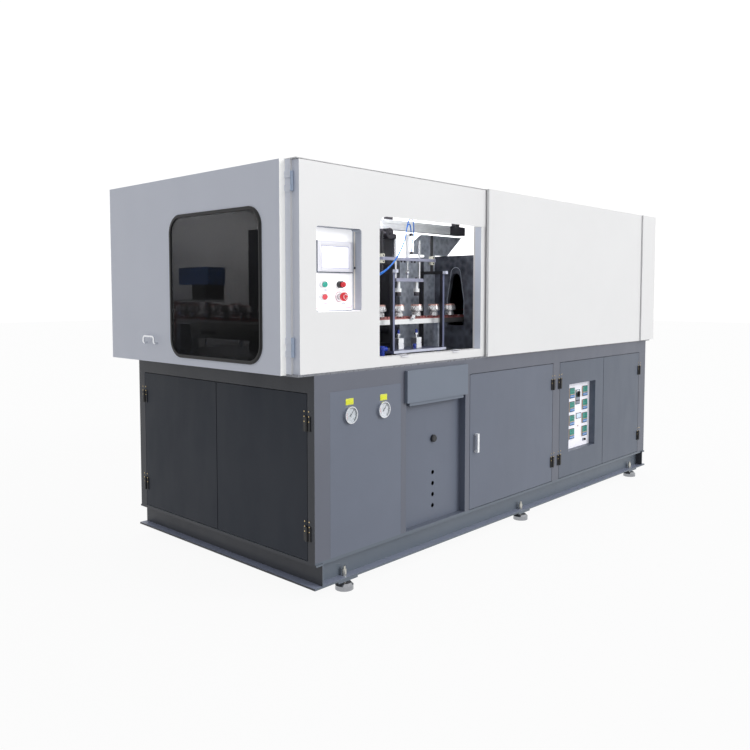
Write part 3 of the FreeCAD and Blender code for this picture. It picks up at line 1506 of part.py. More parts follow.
def transfer_beam():
    """The slotted beam hung from the roof rails, its end bracket and its idler."""
    size, slot, deep = "beam_size", "beam_slot/2", "beam_slot_depth"
    near, low = "beam_y", "beam_bottom"
    middle_y, middle_z = f"{near} + {size}/2", f"{low} + {size}/2"
    far, high = f"{near} + {size}", f"{low} + {size}"
    profile = (
        (near, low), (f"{middle_y} - {slot}", low), (f"{middle_y} - {slot}", f"{low} + {deep}"),
        (f"{middle_y} + {slot}", f"{low} + {deep}"), (f"{middle_y} + {slot}", low), (far, low),
        (far, high), (near, high), (near, f"{middle_z} + {slot}"),
        (f"{near} + {deep}", f"{middle_z} + {slot}"), (f"{near} + {deep}", f"{middle_z} - {slot}"),
        (near, f"{middle_z} - {slot}"))
    beam = plate("side", profile, ("beam_left", "0", "0"), "beam_right - beam_left")
    bracket = box(("beam_right", "beam_right + bracket_length"), (near, far), (low, high))
    arm = box(("beam_left", "beam_left + idler_arm_width"), (near, far),
              (f"{low} - idler_arm_drop", low))
    wheel_at = ("beam_left + idler_arm_width/2", f"{low} - idler_drop")
    wheel_back = f"{near} - idler_gap"
    wheel = rod("y", "pulley_radius", wheel_at, (f"{wheel_back} - pulley_width", wheel_back))
    pin = rod("y", "idler_pin", wheel_at, (wheel_back, near))
    hangers = [box(about(x, "beam_hanger_width/2"),
                   (f"{near} + beam_hanger_inset", f"{far} - beam_hanger_inset"),
                   (high, "frame_top - tube"))
               for x in ("beam_hanger_left", "beam_hanger_right")]
    sub_part("transfer_beam", beam, bracket, fuse(arm, wheel, pin), *hangers)


def oven():
    """The closed heating oven with an arched tunnel for each run of the chain."""
    shell = box(("oven_left", "oven_right"), ("oven_near", "oven_far"), ("bed_top", "oven_top"))
    room = box(("oven_left + oven_wall", "oven_right - oven_wall"),
               ("oven_near + oven_wall", "oven_far - oven_wall"),
               ("bed_top - 1", "oven_top - oven_wall"))
    half, crown = "tunnel_width/2", "tunnel_crown_radius"
    spring = f"tunnel_crown - {crown}"
    start, run = "oven_left - 1", "oven_wall + 2"
    tunnels = []
    for y in ("chain_front_y", "chain_back_y"):
        low, high = about(y, half)
        crown_low, crown_high = about(y, crown)
        arch = ((low, "tunnel_floor"), (high, "tunnel_floor"), (high, "tunnel_shoulder"),
                (crown_high, spring), (crown_low, spring), (low, "tunnel_shoulder"))
        top = rod("x", crown, (y, spring), (start, f"{start} + {run}"))
        tunnels.append(fuse(plate("side", arch, (start, "0", "0"), run), top))
    sub_part("oven_housing", cut(cut(shell, room), *tunnels))


def heat_shield():
    """An upright sheet, and the stepped screen with slanted shoulders before the oven."""
    def sheet(points):
        return plate("front", points, ("0", "shield_y + sheet", "0"), "sheet")

    right = "oven_left - screen_gap"
    first = (("shield_left", "bed_top"), ("shield_right", "bed_top"),
             ("shield_right", "shield_top"), ("shield_left", "shield_top"))
    second = (("screen_left", "bed_top"), (right, "bed_top"), (right, "screen_step"),
              ("screen_slope_low", "screen_step"), ("screen_slope_high", "screen_top"),
              ("screen_top_left", "screen_top"), ("screen_wing", "screen_wing_top"),
              ("screen_wing", "screen_step"), ("screen_left", "screen_step"))
    sub_part("heat_shield", sheet(first), sheet(second))


def clamp():
    """The clamp frame, the two mould halves on their platens and the stretch head."""
    depth = ("clamp_near", "clamp_far")
    wide = ("clamp_left", "clamp_right")
    left = ("clamp_left", "clamp_left + clamp_plate")
    right = ("clamp_right - clamp_plate", "clamp_right")
    top_z = ("clamp_top - clamp_plate", "clamp_top")
    ram_at = ("clamp_depth_middle", "(platen_low + platen_high)/2")
    ties = [(y, z) for y in ("clamp_near + tie_inset", "clamp_far - tie_inset")
            for z in ("tie_low", "tie_high")]
    pieces = [box(wide, depth, ("bed_top", "clamp_base_top"))]
    for x in (left, right):
        hole = rod("x", "ram_radius + slide_clearance", ram_at, (f"{x[0]} - 1", f"{x[1]} + 1"))
        pieces.append(cut(box(x, depth, ("clamp_base_top", top_z[0])), hole))
    guide = rod("z", "stretch_rod + slide_clearance", ("clamp_middle", "clamp_depth_middle"),
                (f"{top_z[0]} - 1", f"{top_z[1]} + 1"))
    pieces.append(cut(box(wide, depth, top_z), guide))
    pieces += [rod("x", "tie_radius", tie, (left[1], right[0])) for tie in ties]
    sub_part("clamp_frame", fuse(*pieces))
    bottle_top = "bottle_height + bottle_neck_height"
    bottle = turned((("0", "0"), ("bottle_radius", "0"),
                     ("bottle_radius", "bottle_height - bottle_shoulder"),
                     ("bottle_neck", "bottle_height"), ("bottle_neck", bottle_top),
                     ("0", bottle_top)))
    for label, sign in (("mould_left", "-"), ("mould_right", "+")):
        def span(start, end):
            pair = (f"clamp_middle {sign} ({end})", f"clamp_middle {sign} ({start})")
            return pair if sign == "-" else pair[::-1]

        block = box(span("mould_face", "platen_face"),
                    about("clamp_depth_middle", "mould_half_width"), ("mould_low", "mould_high"))
        cavities = [copy_of(bottle, f"clamp_middle {sign} mould_face", y,
                            "mould_high - bottle_height - bottle_drop")
                    for y in about("clamp_depth_middle", "bottle_pitch/2")]
        slab = box(span("platen_face", "platen_back"),
                   ("clamp_near + platen_margin", "clamp_far - platen_margin"),
                   ("platen_low", "platen_high"))
        bores = [rod("x", "tie_radius + slide_clearance", tie, wide) for tie in ties]
        ram = rod("x", "ram_radius", ram_at,
                  span("platen_back", "clamp_right - clamp_middle + ram_overrun"))
        sub_part(label, fuse(cut(block, *cavities), cut(slab, *bores), ram))
    stretch_head()


def stretch_head():
    """The blowing head above the moulds: a plate with two nozzles on a guided rod."""
    plate_low = "stretch_low + nozzle_length"
    pieces = [box(about("clamp_middle", "blow_plate_half"),
                  about("clamp_depth_middle", "bottle_pitch"),
                  (plate_low, f"{plate_low} + blow_plate_thick"))]
    for y in about("clamp_depth_middle", "bottle_pitch/2"):
        pieces.append(rod("z", "bottle_neck + nozzle_wall", ("clamp_middle", y),
                          ("stretch_low", plate_low)))
    pieces.append(rod("z", "stretch_rod", ("clamp_middle", "clamp_depth_middle"),
                      (plate_low, "clamp_top + stretch_travel + stretch_rod_spare")))
    sub_part("stretch_head", fuse(*pieces))


def route(start, leave, arrive, end, count):
    """Evenly parted points along a smooth curve between two ends and their two pulls."""
    points = []
    for k in range(count + 1):
        t = k / count
        share = ((1 - t) ** 3, 3 * t * (1 - t) ** 2, 3 * t * t * (1 - t), t ** 3)
        points.append([sum(part * spot[axis] for part, spot in zip(share, (start, leave, arrive, end)))
                       for axis in range(3)])
    return points


def cords():
    """Two air tubes from the control box to the loading cylinder, and the servo cable."""
    radius = value("tube_radius")
    gap = value("seat_gap")
    box_side = value("recess_right") + value("sheet") + gap
    exit_y, exit_z = value("tube_exit_y"), value("touch_low") - value("tube_exit_drop")
    fitting_y = value("chain_front_y") - value("port_reach") + value("port_size") / 2
    plate_top = value("top_plate_top")
    upper_x = value("loader_x") + value("upper_port_right")
    lower_x = value("loader_x") + value("lower_port_right")
    upper_z = plate_top + value("upper_port_rise") + 2 * gap
    lower_z = plate_top + value("lower_port_rise") + 2 * gap
    behind = value("portal_y") + value("post_deep") + value("tube_behind_post")
    reach, hook = value("tube_reach"), value("tube_hook")
    pitch, pull, rise = value("tube_exit_pitch"), value("tube_pull"), value("tube_rise")

    def tube(name, row, bend, end, over, straight, lean, side, count):
        start = [box_side, exit_y + row * pitch, exit_z - row * pitch]
        points = route(start, [start[0] + reach, start[1], start[2]],
                       [bend[0] - pull, bend[1], bend[2] - rise], bend, 9)
        above = [end[0], end[1], end[2] + straight]
        points += route(bend, [bend[0] + lean, bend[1], bend[2] + over],
                        [above[0] + side, above[1], above[2] + over], above, count)[1:]
        points.append(end)
        return swept(name, points, radius)

    upper = tube("AirTubeUpper", 0, [upper_x - hook, behind, upper_z - value("upper_tube_below")],
                 [upper_x, fitting_y, upper_z],
                 value("upper_tube_over"), value("upper_tube_straight"), 0, 0, 4)
    lower = tube("AirTubeLower", 1,
                 [lower_x - hook, behind + pitch / 2, lower_z + value("lower_tube_above")],
                 [lower_x, fitting_y, lower_z], value("lower_tube_over"),
                 value("lower_tube_straight"), value("lower_tube_lean"), pull, 7)
    sub_part("air_tubes", upper, lower)
    side = value("run_left") + value("motor_width") / 2 + gap
    back = value("motor_near") + value("motor_length") - value("cable_from_end")
    level = value("motor_low") + value("motor_height") / 2
    floor = value("bed_top") + gap
    hang_x, hang_y = side + value("cable_hang"), back + value("cable_back")
    drop = value("cable_drop")
    cable = route([side, back, level], [side + value("cable_reach"), back, level],
                  [hang_x, hang_y, level - drop], [hang_x, hang_y, level - 2 * drop], 5)
    count = 4
    step = (cable[-1][2] - floor) / count
    cable += [[hang_x, hang_y, level - 2 * drop - step * (k + 1)] for k in range(count)]
    sub_part("servo_cable", swept("ServoCable", cable, value("cable_radius")))


def main():
    fill_sheet("sizes", SIZES, False)
    fill_sheet("places", PLACES, True)
    DOC.recompute()
    base_frame()
    feet()
    cabinet_frame()
    cabinet_covers()
    gauges()
    recessed_bay()
    lower_doors()
    temperature_panel()
    electrical_plate()
    bed()
    enclosure_frame()
    enclosure_panels()
    sliding_door()
    end_door()
    control_box()
    conveyor()
    servo()
    loader()
    transfer_beam()
    oven()
    heat_shield()
    clamp()
    cords()
    DOC.recompute()
    write_parts()


def write_parts():
    """Check every object, then write one file for each sub-part."""
    for piece in DOC.Objects:
        if "Invalid" in piece.State or "Error" in piece.State:
            raise RuntimeError(f"{piece.Name} ({piece.Label}) didn't compute: {piece.State}")
    os.makedirs("parts", exist_ok=True)
    for part in SUB_PARTS:
        shape = part.Shape
        if shape.isNull() or not shape.isValid() or not shape.Solids:
            raise RuntimeError(f"{part.Label} has no sound solid")
        shape.exportStep(f"parts/{part.Label}.step")
        solids = len(shape.Solids)
        print(f"{part.Label}: {solids} solids, {shape.Volume / 1e6:.2f} litres")


main()
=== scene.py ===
import json
import math
import bmesh
import bpy
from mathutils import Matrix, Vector


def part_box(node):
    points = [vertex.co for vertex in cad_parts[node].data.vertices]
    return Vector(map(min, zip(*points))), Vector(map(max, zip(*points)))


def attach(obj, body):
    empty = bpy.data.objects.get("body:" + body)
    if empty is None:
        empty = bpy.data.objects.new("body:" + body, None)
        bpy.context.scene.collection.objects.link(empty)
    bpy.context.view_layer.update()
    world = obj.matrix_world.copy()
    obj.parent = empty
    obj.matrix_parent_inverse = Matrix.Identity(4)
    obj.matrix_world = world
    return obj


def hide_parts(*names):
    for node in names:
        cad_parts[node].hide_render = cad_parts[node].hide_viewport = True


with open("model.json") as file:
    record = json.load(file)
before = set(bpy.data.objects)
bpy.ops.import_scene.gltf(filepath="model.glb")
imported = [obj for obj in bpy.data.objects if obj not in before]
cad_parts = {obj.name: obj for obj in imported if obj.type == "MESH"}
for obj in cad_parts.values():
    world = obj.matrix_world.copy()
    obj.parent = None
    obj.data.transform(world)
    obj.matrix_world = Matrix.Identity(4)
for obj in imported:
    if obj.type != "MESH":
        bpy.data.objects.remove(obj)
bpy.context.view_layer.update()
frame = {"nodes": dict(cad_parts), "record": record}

# The blow moulding machine's finishes, cords, small pieces, floor, light and camera.

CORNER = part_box("cabinet_frame")[0]
scene = bpy.context.scene


def place(x, y, z):
    """Millimetres from the cabinet's front left corner to metres in the row frame."""
    return Vector((CORNER.x + x / 1000, CORNER.y + y / 1000, z / 1000))


def corner(point):
    """Metres in the row frame to millimetres from the cabinet's front left corner."""
    return ((point.x - CORNER.x) * 1000, (point.y - CORNER.y) * 1000, point.z * 1000)


def span(node):
    """A node's limits along x, y and z, in millimetres from the corner."""
    low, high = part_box(node)
    return tuple(zip(corner(low), corner(high)))


def linear(rgb):
    """sRGB values from 0 to 255 as linear colour."""
    out = []
    for level in rgb:
        level /= 255
        out.append(level / 12.92 if level <= 0.04045 else ((level + 0.055) / 1.055) ** 2.4)
    return (*out, 1)


def shade(colour, factor):
    """A linear colour made darker or lighter, at most white."""
    return tuple(min(1.0, level * factor) for level in colour[:3]) + (1,)


# ---------------------------------------------------------------- finishes
class Nodes:
    """A node tree with short calls to add and join nodes."""

    def __init__(self, tree):
        self.tree = tree
        self.tree.nodes.clear()

    def add(self, kind, **settings):
        node = self.tree.nodes.new(kind)
        for key, value in settings.items():
            setattr(node, key, value)
        return node

    def join(self, source, output, target, entry):
        self.tree.links.new(source.outputs[output], target.inputs[entry])

    def ramp(self, source, output, stops):
        node = self.add("ShaderNodeValToRGB")
        ramp = node.color_ramp
        while len(ramp.elements) < len(stops):
            ramp.elements.new(0.5)
        for element, (spot, colour) in zip(ramp.elements, stops):
            element.position = spot
            element.color = colour
        self.join(source, output, node, 0)
        return node


class Finish(Nodes):
    """A material with a principled shader and object coordinates."""

    def __init__(self, name):
        self.material = bpy.data.materials.new(name)
        self.material.use_nodes = True
        super().__init__(self.material.node_tree)
        self.output = self.add("ShaderNodeOutputMaterial")
        self.shader = self.add("ShaderNodeBsdfPrincipled")
        self.join(self.shader, 0, self.output, 0)
        self.position = self.add("ShaderNodeTexCoord")

    def scaled(self, scale):
        """Object coordinates stretched by a scale for each axis."""
        mapping = self.add("ShaderNodeMapping")
        mapping.inputs["Scale"].default_value = scale
        self.join(self.position, "Object", mapping, "Vector")
        return mapping

    def noise(self, scale, detail=3.0, rough=0.5, stretch=(1, 1, 1)):
        node = self.add("ShaderNodeTexNoise")
        node.inputs["Scale"].default_value = scale
        node.inputs["Detail"].default_value = detail
        node.inputs["Roughness"].default_value = rough
        self.join(self.scaled(stretch), 0, node, "Vector")
        return node

    def tone(self, source, output, colour, spread):
        """The base colour drifting round a colour with a noise."""
        stops = [(0.3, shade(colour, 1 - spread)), (0.7, shade(colour, 1 + spread))]
        node = self.ramp(source, output, stops)
        self.join(node, "Color", self.shader, "Base Color")
        return node

    def gloss(self, source, low, high):
        node = self.ramp(source, "Fac", [(0.35, (low,) * 3 + (1,)), (0.7, (high,) * 3 + (1,))])
        self.join(node, "Color", self.shader, "Roughness")

    def bump(self, source, output, strength, distance):
        node = self.add("ShaderNodeBump")
        node.inputs["Strength"].default_value = strength
        node.inputs["Distance"].default_value = distance
        self.join(source, output, node, "Height")
        self.join(node, 0, self.shader, "Normal")


def paint(name, rgb, rough=0.42, peel=0.12, spread=0.05, shine=0.5):
    """Sprayed enamel: slow tone drift, fine orange peel and a roughness that wanders."""
    n = Finish(name)
    n.shader.inputs["Specular IOR Level"].default_value = shine
    n.tone(n.noise(2.2, 4, 0.55), "Fac", linear(rgb), spread)
    n.gloss(n.noise(9, 5, 0.6, (1, 1, 0.35)), rough - 0.05, rough + 0.07)
    n.bump(n.noise(420, 2, 0.5), "Fac", peel, 0.0004)
    return n.material


def metal(name, rgb, rough=0.25, stretch=(1, 1, 1), grain=160, spread=0.08, bump=0.05,
          metallic=1.0):
    """Bare metal with a fine grain along the direction that the stretch leaves long."""
    n = Finish(name)
    lines = n.noise(grain, 3, 0.6, stretch)
    n.tone(lines, "Fac", linear(rgb), spread)
    n.gloss(lines, rough * 0.8, rough * 1.25)
    n.shader.inputs["Metallic"].default_value = metallic
    n.bump(lines, "Fac", bump, 0.0002)
    return n.material


def plastic(name, rgb, rough=0.35, spread=0.04, peel=0.08, glow=0.0):
    """Moulded plastic with a fine skin and a glow where asked: the displays' own light, and painted
    light on the other parts that glow.
    """
    n = Finish(name)
    tone = n.tone(n.noise(30, 3, 0.5), "Fac", linear(rgb), spread)
    n.shader.inputs["Roughness"].default_value = rough
    n.bump(n.noise(700, 2, 0.5), "Fac", peel, 0.0002)
    if glow:
        n.join(tone, "Color", n.shader, "Emission Color")
        n.shader.inputs["Emission Strength"].default_value = glow
    return n.material


def mottled(name, dark, light, rough=0.45, scale=14.0, metallic=0.6):
    """Galvanised or heat-stained sheet: cells and clouds of grey."""
    n = Finish(name)
    cells = n.add("ShaderNodeTexVoronoi")
    cells.inputs["Scale"].default_value = scale * 3
    n.join(n.scaled((1, 1, 1)), 0, cells, "Vector")
    clouds = n.noise(scale, 6, 0.65)
    mix = n.add("ShaderNodeMix", data_type="FLOAT")
    mix.inputs[0].default_value = 0.25
    n.join(clouds, "Fac", mix, 2)
    n.join(cells, "Distance", mix, 3)
    tone = n.ramp(mix, 0, [(0.3, linear(dark)), (0.62, linear(light))])
    n.join(tone, "Color", n.shader, "Base Color")
    n.shader.inputs["Metallic"].default_value = metallic
    n.gloss(clouds, rough - 0.1, rough + 0.12)
    n.bump(clouds, "Fac", 0.05, 0.001)
    return n.material


def along_x(name, near, far, change, rough=0.35):
    """A finish that turns from one colour to another at a place along the machine, used as painted
    shade where the far part lies out of the light.
    """
    n = Finish(name)
    split = n.add("ShaderNodeSeparateXYZ")
    n.join(n.position, "Object", split, 0)
    reach = n.add("ShaderNodeMapRange")
    blend = 12
    reach.inputs["From Min"].default_value = place(change - blend, 0, 0).x
    reach.inputs["From Max"].default_value = place(change + blend, 0, 0).x
    n.join(split, "X", reach, "Value")
    grain = n.noise(60, 3, 0.5)
    mix = n.add("ShaderNodeMath", operation="MULTIPLY_ADD")
    mix.inputs[1].default_value = 0.06
    n.join(grain, "Fac", mix, 0)
    n.join(reach, 0, mix, 2)
    tone = n.ramp(mix, 0, [(0.1, linear(near)), (0.95, linear(far))])
    n.join(tone, "Color", n.shader, "Base Color")
    n.shader.inputs["Roughness"].default_value = rough
    n.bump(grain, "Fac", 0.05, 0.0003)
    return n.material


def glass(name, rgb, tint, rough=0.03, cover=0.2, shine=0.5):
    """Clear sheet: what lies behind shows through the tint, under a thin glossy cover."""
    n = Finish(name)
    haze = n.noise(3.0, 3, 0.5)
    n.tone(haze, "Fac", linear(rgb), 0.1)
    n.shader.inputs["Specular IOR Level"].default_value = shine
    n.shader.inputs["Roughness"].default_value = rough
    clear = n.add("ShaderNodeBsdfTransparent")
    depth = n.ramp(haze, "Fac", [(0.2, shade(tint, 0.93)), (0.8, shade(tint, 1.07))])
    n.join(depth, "Color", clear, "Color")
    mix = n.add("ShaderNodeMixShader")
    mix.inputs[0].default_value = cover
    n.join(clear, 0, mix, 1)
    n.join(n.shader, 0, mix, 2)
    n.join(mix, 0, n.output, 0)
    return n.material


FINISHES = {
    "frame_paint": paint("FramePaint", (100, 104, 116)),
    # Painted shade: a darker copy of the base paint for the base frame, whose webs lie in shade
    # under the flanges.
    "base_web_shade": paint("BaseWebPaintedShade", (98, 107, 118)),
    # Painted shade: a dark copy of the frame paint for the left-facing faces of the cabinet and
    # base, for the shade on the machine's left end.
    "end_frame_shade": paint("EndFramePaintedShade", (70, 72, 77), shine=0.3),
    # Painted light: a lighter copy of the base paint, also given to the upward faces low on the
    # cabinet and base for the light falling on them from above.
    "base_paint": paint("BasePaint", (138, 145, 165)),
    "door_paint": paint("DoorPaint", (100, 107, 122)),
    "gauge_paint": paint("GaugePanelPaint", (105, 112, 127)),
    "electric_paint": paint("ElectricalDoorPaint", (88, 96, 110)),
    "hood_paint": paint("HoodPaint", (112, 121, 135)),
    # Painted shade: the lower end doors' paint darkened for the shade under the guard's overhang on
    # the left end.
    "end_door_shade": paint("EndDoorPaintedShade", (46, 51, 60), 0.5, shine=0.2),
    "white_paint": paint("WhitePaint", (238, 238, 238), spread=0.015),
    "end_paint": paint("EndWhitePaint", (232, 236, 246), spread=0.02),
    # Painted shade: a greyed white for the left-facing sides of the recess, which lie in shade.
    "shadow_white": paint("RecessSidePaintedShade", (178, 184, 195), spread=0.02),
    # Painted shade: a bluish white for the opening's left-facing jamb, which lies in shade.
    "jamb_shade_paint": paint("JambPaintedShade", (230, 236, 248), spread=0.02),
    # Painted shade: grey for the recess's downward faces and its lower edge, where shade falls.
    "edge_shade_grey": paint("RecessEdgePaintedShade", (120, 127, 142), spread=0.02),
    # Painted light: a glowing white for the end door's front edge, which lies in shade.
    "edge_light_white": plastic("DoorEdgePaintedLight", (250, 250, 247), 0.4, 0.01, glow=0.22),
    "zinc": metal("ZincStuds", (196, 195, 188), 0.32),
    "bright_steel": metal("BrightSteel", (222, 224, 228), 0.16),
    "foot_chrome": metal("FootChrome", (158, 160, 164), 0.2, metallic=0.9),
    "pale_steel": metal("PaleSteel", (206, 206, 208), 0.28, metallic=0.7),
    "black_hinge": paint("BlackHinge", (20, 20, 23), 0.35),
    "hinge_blue_grey": paint("KnuckleHinge", (186, 202, 224), 0.3),
    "instrument_white": paint("InstrumentWhite", (240, 240, 246), 0.35, spread=0.015),
    "instrument_black": plastic("InstrumentBlack", (36, 38, 42)),
    "dial_glass": glass("DialGlass", (235, 242, 245), (0.95, 0.97, 0.97, 1), cover=0.08),
    "window_glass": glass("WindowGlass", (18, 18, 20), (0.214, 0.214, 0.216, 1), 0.02, 0.2, 0.12),
    "rubber": plastic("GasketRubber", (16, 16, 18), 0.55),
    # Painted light: the recess's white back glows so that it stays bright deep in the recess.
    "recess_lit_white": plastic("RecessWhitePaintedLight", (250, 250, 252), 0.4, 0.01, glow=0.5),
    # Painted light: the temperature plate glows a little, though it is no lamp.
    "scale_lit_white": plastic("TemperaturePlatePaintedLight", (242, 242, 250), 0.4, 0.01, glow=0.22),
    "screen": paint("PanelWhite", (244, 244, 252), 0.3, spread=0.01),
    "screen_glow": plastic("PanelScreen", (246, 246, 252), 0.15, glow=0.4),
    "lilac": plastic("BezelShade", (180, 182, 214), 0.3),
    # Painted shade: dark blue-grey for the touch panel's sides and the shadow line under it.
    "panel_side_shade": plastic("PanelSidePaintedShade", (40, 54, 76), 0.3),
    "green_cap": plastic("GreenCap", (46, 176, 156), 0.25),
    "soft_red_cap": plastic("SoftRedCap", (236, 84, 96), 0.25),
    "red_cap": plastic("RedCap", (224, 34, 48), 0.25),
    "pink_mark": plastic("PinkMark", (240, 176, 196), 0.4),
    "grey_mark": plastic("GreyMark", (150, 156, 172), 0.4),
    # Painted shade: a greyer alloy for the lift block's left-facing faces, in shade, beside the
    # white alloy of its lit faces.
    "machined": metal("MachinedAlloyShadedSide", (206, 208, 216), 0.34, (0.2, 1, 1)),
    "white_alloy": metal("WhiteAlloy", (244, 246, 250), 0.42, (0.2, 1, 1), metallic=0.35),
    "plate_grey": metal("PlateGrey", (150, 152, 172), 0.4, (0.2, 1, 1), metallic=0.4),
    "plate_dark": metal("PlateDark", (104, 108, 132), 0.4, (0.2, 1, 1), metallic=0.4),
    "post_front": paint("PostFront", (112, 118, 148), 0.35),
    "black_paint": paint("BlackPaint", (30, 30, 36), 0.4),
    "pale_cap": plastic("PaleCap", (214, 218, 234), 0.35),
    "collar": metal("PaleBrass", (238, 236, 218), 0.25, metallic=0.4),
    "dark_steel": metal("DarkSteel", (72, 70, 76), 0.35, metallic=0.7),
    "link_red": paint("LinkPaint", (158, 100, 98), 0.4),
    "mouth_red": metal("MouthRing", (186, 148, 140), 0.3, metallic=0.5),
    # Painted shade: the rail's white turns grey beyond the loader, where it lies in shade.
    "rail_white": along_x("RailWhiteShadedFarRun", (246, 248, 248), (92, 92, 92), 1010),
    "galvanised": mottled("Galvanised", (134, 144, 160), (210, 217, 228), metallic=0.2),
    "bed_steel": metal("BedSteel", (128, 130, 136), 0.3, (1, 0.2, 1), 60, metallic=0.6),
    "dark_oven": mottled("OvenSheet", (38, 39, 46), (116, 120, 132), 0.5, 9.0, 0.4),
    "clamp_paint": paint("ClampPaint", (62, 63, 70), 0.45),
    "motor_blue": paint("MotorBlue", (66, 112, 176), 0.35),
    "tube_blue": plastic("TubeBlue", (10, 112, 214), 0.2),
    "fitting_blue": plastic("FittingBlue", (34, 62, 168), 0.25),
    "cable_black": plastic("CableBlack", (18, 18, 20), 0.5),
    "label_yellow": plastic("LabelYellow", (226, 231, 50), 0.35),
    "brass": metal("BrassScrews", (206, 184, 138), 0.25),
    "teal": plastic("ControllerTeal", (64, 168, 152), 0.3),
    "beige": plastic("ControllerBeige", (204, 184, 164), 0.45),
    # Partly painted light: the strip's pale beige is its own colour, its faint glow is painted
    # light.
    "strip": plastic("RecessStripPaintedLight", (226, 221, 212), 0.45, glow=0.1),
    "stop_plate": plastic("StopPlate", (232, 206, 214), 0.4),
    "key_blue": plastic("ControllerBlue", (44, 134, 208), 0.3),
    "plate_teal": plastic("SwitchPlate", (74, 112, 118), 0.35),
    "display": plastic("DisplayGlow", (206, 224, 246), 0.2, glow=0.25),
    "apron": paint("ApronPaint", (196, 196, 190), 0.5),
}


def dress(target, name):
    target.data.materials.clear()
    target.data.materials.append(FINISHES[name])


def within(x=None, y=None, z=None, facing=None):
    """A test for a face whose middle lies between limits and that looks along a direction."""
    def test(middle, normal):
        inside = all(limits is None or limits[0] <= value <= limits[1]
                     for limits, value in zip((x, y, z), middle))
        return inside and (facing is None or normal.dot(Vector(facing)) > 0.7)
    return test


def zones(node_name, *rules):
    """Gives each face of a node the first finish whose test it passes."""
    node = frame["nodes"][node_name]
    first = len(node.data.materials)
    for name, _ in rules:
        node.data.materials.append(FINISHES[name])
    for polygon in node.data.polygons:
        middle = corner(polygon.center)
        for index, (_, test) in enumerate(rules, first):
            if test(middle, polygon.normal):
                polygon.material_index = index
                break


FRONT, LEFT, DOWN, UP = (0, -1, 0), (-1, 0, 0), (0, 0, -1), (0, 0, 1)


def dress_lower(doors, ends):
    """The hinge leaves, painted shade on the left end, painted light on the base's flange tops, the
    gauges' rims.
    """
    proud = (-40, -0.1)
    for name in doors:
        zones(name, ("black_hinge", within(y=proud)))
    for name in ends:
        zones(name, ("black_hinge", within(x=proud)))
    # Painted light and shade: left-facing faces take the dark end paint as painted shade, upward
    # faces low on the base the lighter base paint as painted light.
    for name in ("cabinet_frame", "cabinet_cover_panels", "base_frame"):
        zones(name,
              ("end_frame_shade", within(facing=LEFT)),
              ("base_paint", within(z=(0, 100), facing=UP)))
    zones("gauge_cases", ("instrument_white", within(y=(-5.3, -4.7), facing=FRONT)))


def dress_guard():
    """The guard's edges and hinges, the control recess and what stands in it, with painted light on
    the end door's edge and painted shade on the jamb, the recess and the touch panel's sides.
    """
    # The end door's front edge takes the glowing white as painted light.
    zones("end_door",
          ("hinge_blue_grey", within(y=(0, 42))),
          ("edge_light_white", within(y=(60, 70), facing=FRONT)))
    for name in ("enclosure_frame", "front_left_panel"):
        zones(name, ("end_paint", within(x=(-90, -60), facing=LEFT)))
    zones("end_door_hinges", ("white_paint", within(y=(-10, 21))))
    # The opening's left-facing jamb takes the bluish white as painted shade.
    zones("opening_frame", ("jamb_shade_paint", within(facing=LEFT)))
    # Painted shade on the recess: its left-facing sides take the greyed white and its downward
    # faces the grey, in the control box and in the front panel round it.
    zones("control_box",
          ("shadow_white", within(facing=LEFT)),
          ("edge_shade_grey", within(facing=DOWN)))
    zones("front_left_panel",
          ("shadow_white", within(x=(250, 275), z=(1125, 1470), facing=LEFT)),
          ("edge_shade_grey", within(x=(0, 275), z=(1440, 1470), facing=DOWN)))
    # The touch panel's sides take the dark paint as painted shade.
    zones("touch_panel", ("panel_side_shade", lambda middle, normal: normal.y > -0.7))
    column, upper = (168, 204), (1222, 1256)
    zones("button_housings",
          ("red_cap", within(x=column, y=(10, 33.6), z=upper)),
          ("instrument_black", within(x=column, z=upper)),
          ("pale_steel", within()))
    zones("temperature_controllers",
          ("beige", within(facing=LEFT, z=(340, 655))),
          ("plate_teal", within(x=(2120, 2176), z=(540, 640))))


def dress_loader():
    """The loader's frame, cylinders and grippers, from the bed up to the top plate."""
    posts = (600, 634), (967, 1000)
    bed, collar_low, plate_low, plate_high, collar_high, top = 929, 1342, 1356.9, 1371.1, 1386, 1500
    zones("loading_frame",
          ("pale_cap", within(y=(100, 139.9))),
          *(("collar", within(x=post, z=z))
            for z in ((collar_low, plate_low), (plate_high, collar_high)) for post in posts),
          ("plate_grey", within(z=(plate_low, plate_high))),
          *(("black_paint", within(x=post, z=(1297, top))) for post in posts),
          ("bright_steel", within(z=(1312.1, top))),
          ("plate_dark", within(z=(bed, 942.1))),
          ("post_front", within(y=(139, 200), facing=FRONT)),
          ("black_paint", within()))
    zones("gripper_carriage",
          ("dark_steel", within(z=(1190, 1209.9))),
          ("white_alloy", within(z=(1210, 1258.9))),
          ("plate_grey", within(z=(1258.9, 1275.1))),
          ("bright_steel", within()))
    # The lift block's left-facing faces take the greyer alloy as painted shade.
    zones("air_cylinders",
          ("dark_steel", within(y=(180, 203.9), z=(1380, top))),
          ("machined", within(z=(930, 993), facing=LEFT)))


def dress_transport():
    """The chain, its rail, the transfer beam and the servo motor."""
    zones("preform_chain",
          ("link_red", within(z=(1080, 1095.2))),
          ("mouth_red", within(z=(1146, 1160))))
    zones("conveyor_rail",
          ("link_red", within(z=(1082.1, 1088))),
          ("galvanised", within(z=(900, 1058.9))))
    zones("transfer_beam",
          ("dark_steel", within(x=(1215.1, 1400))),
          ("dark_steel", within(x=(650, 760), z=(1440, 1507.9))),
          ("dark_steel", within(z=(1553.1, 1720))))
    zones("servo_motor", ("black_paint", within(z=(1100, 1245.9))))


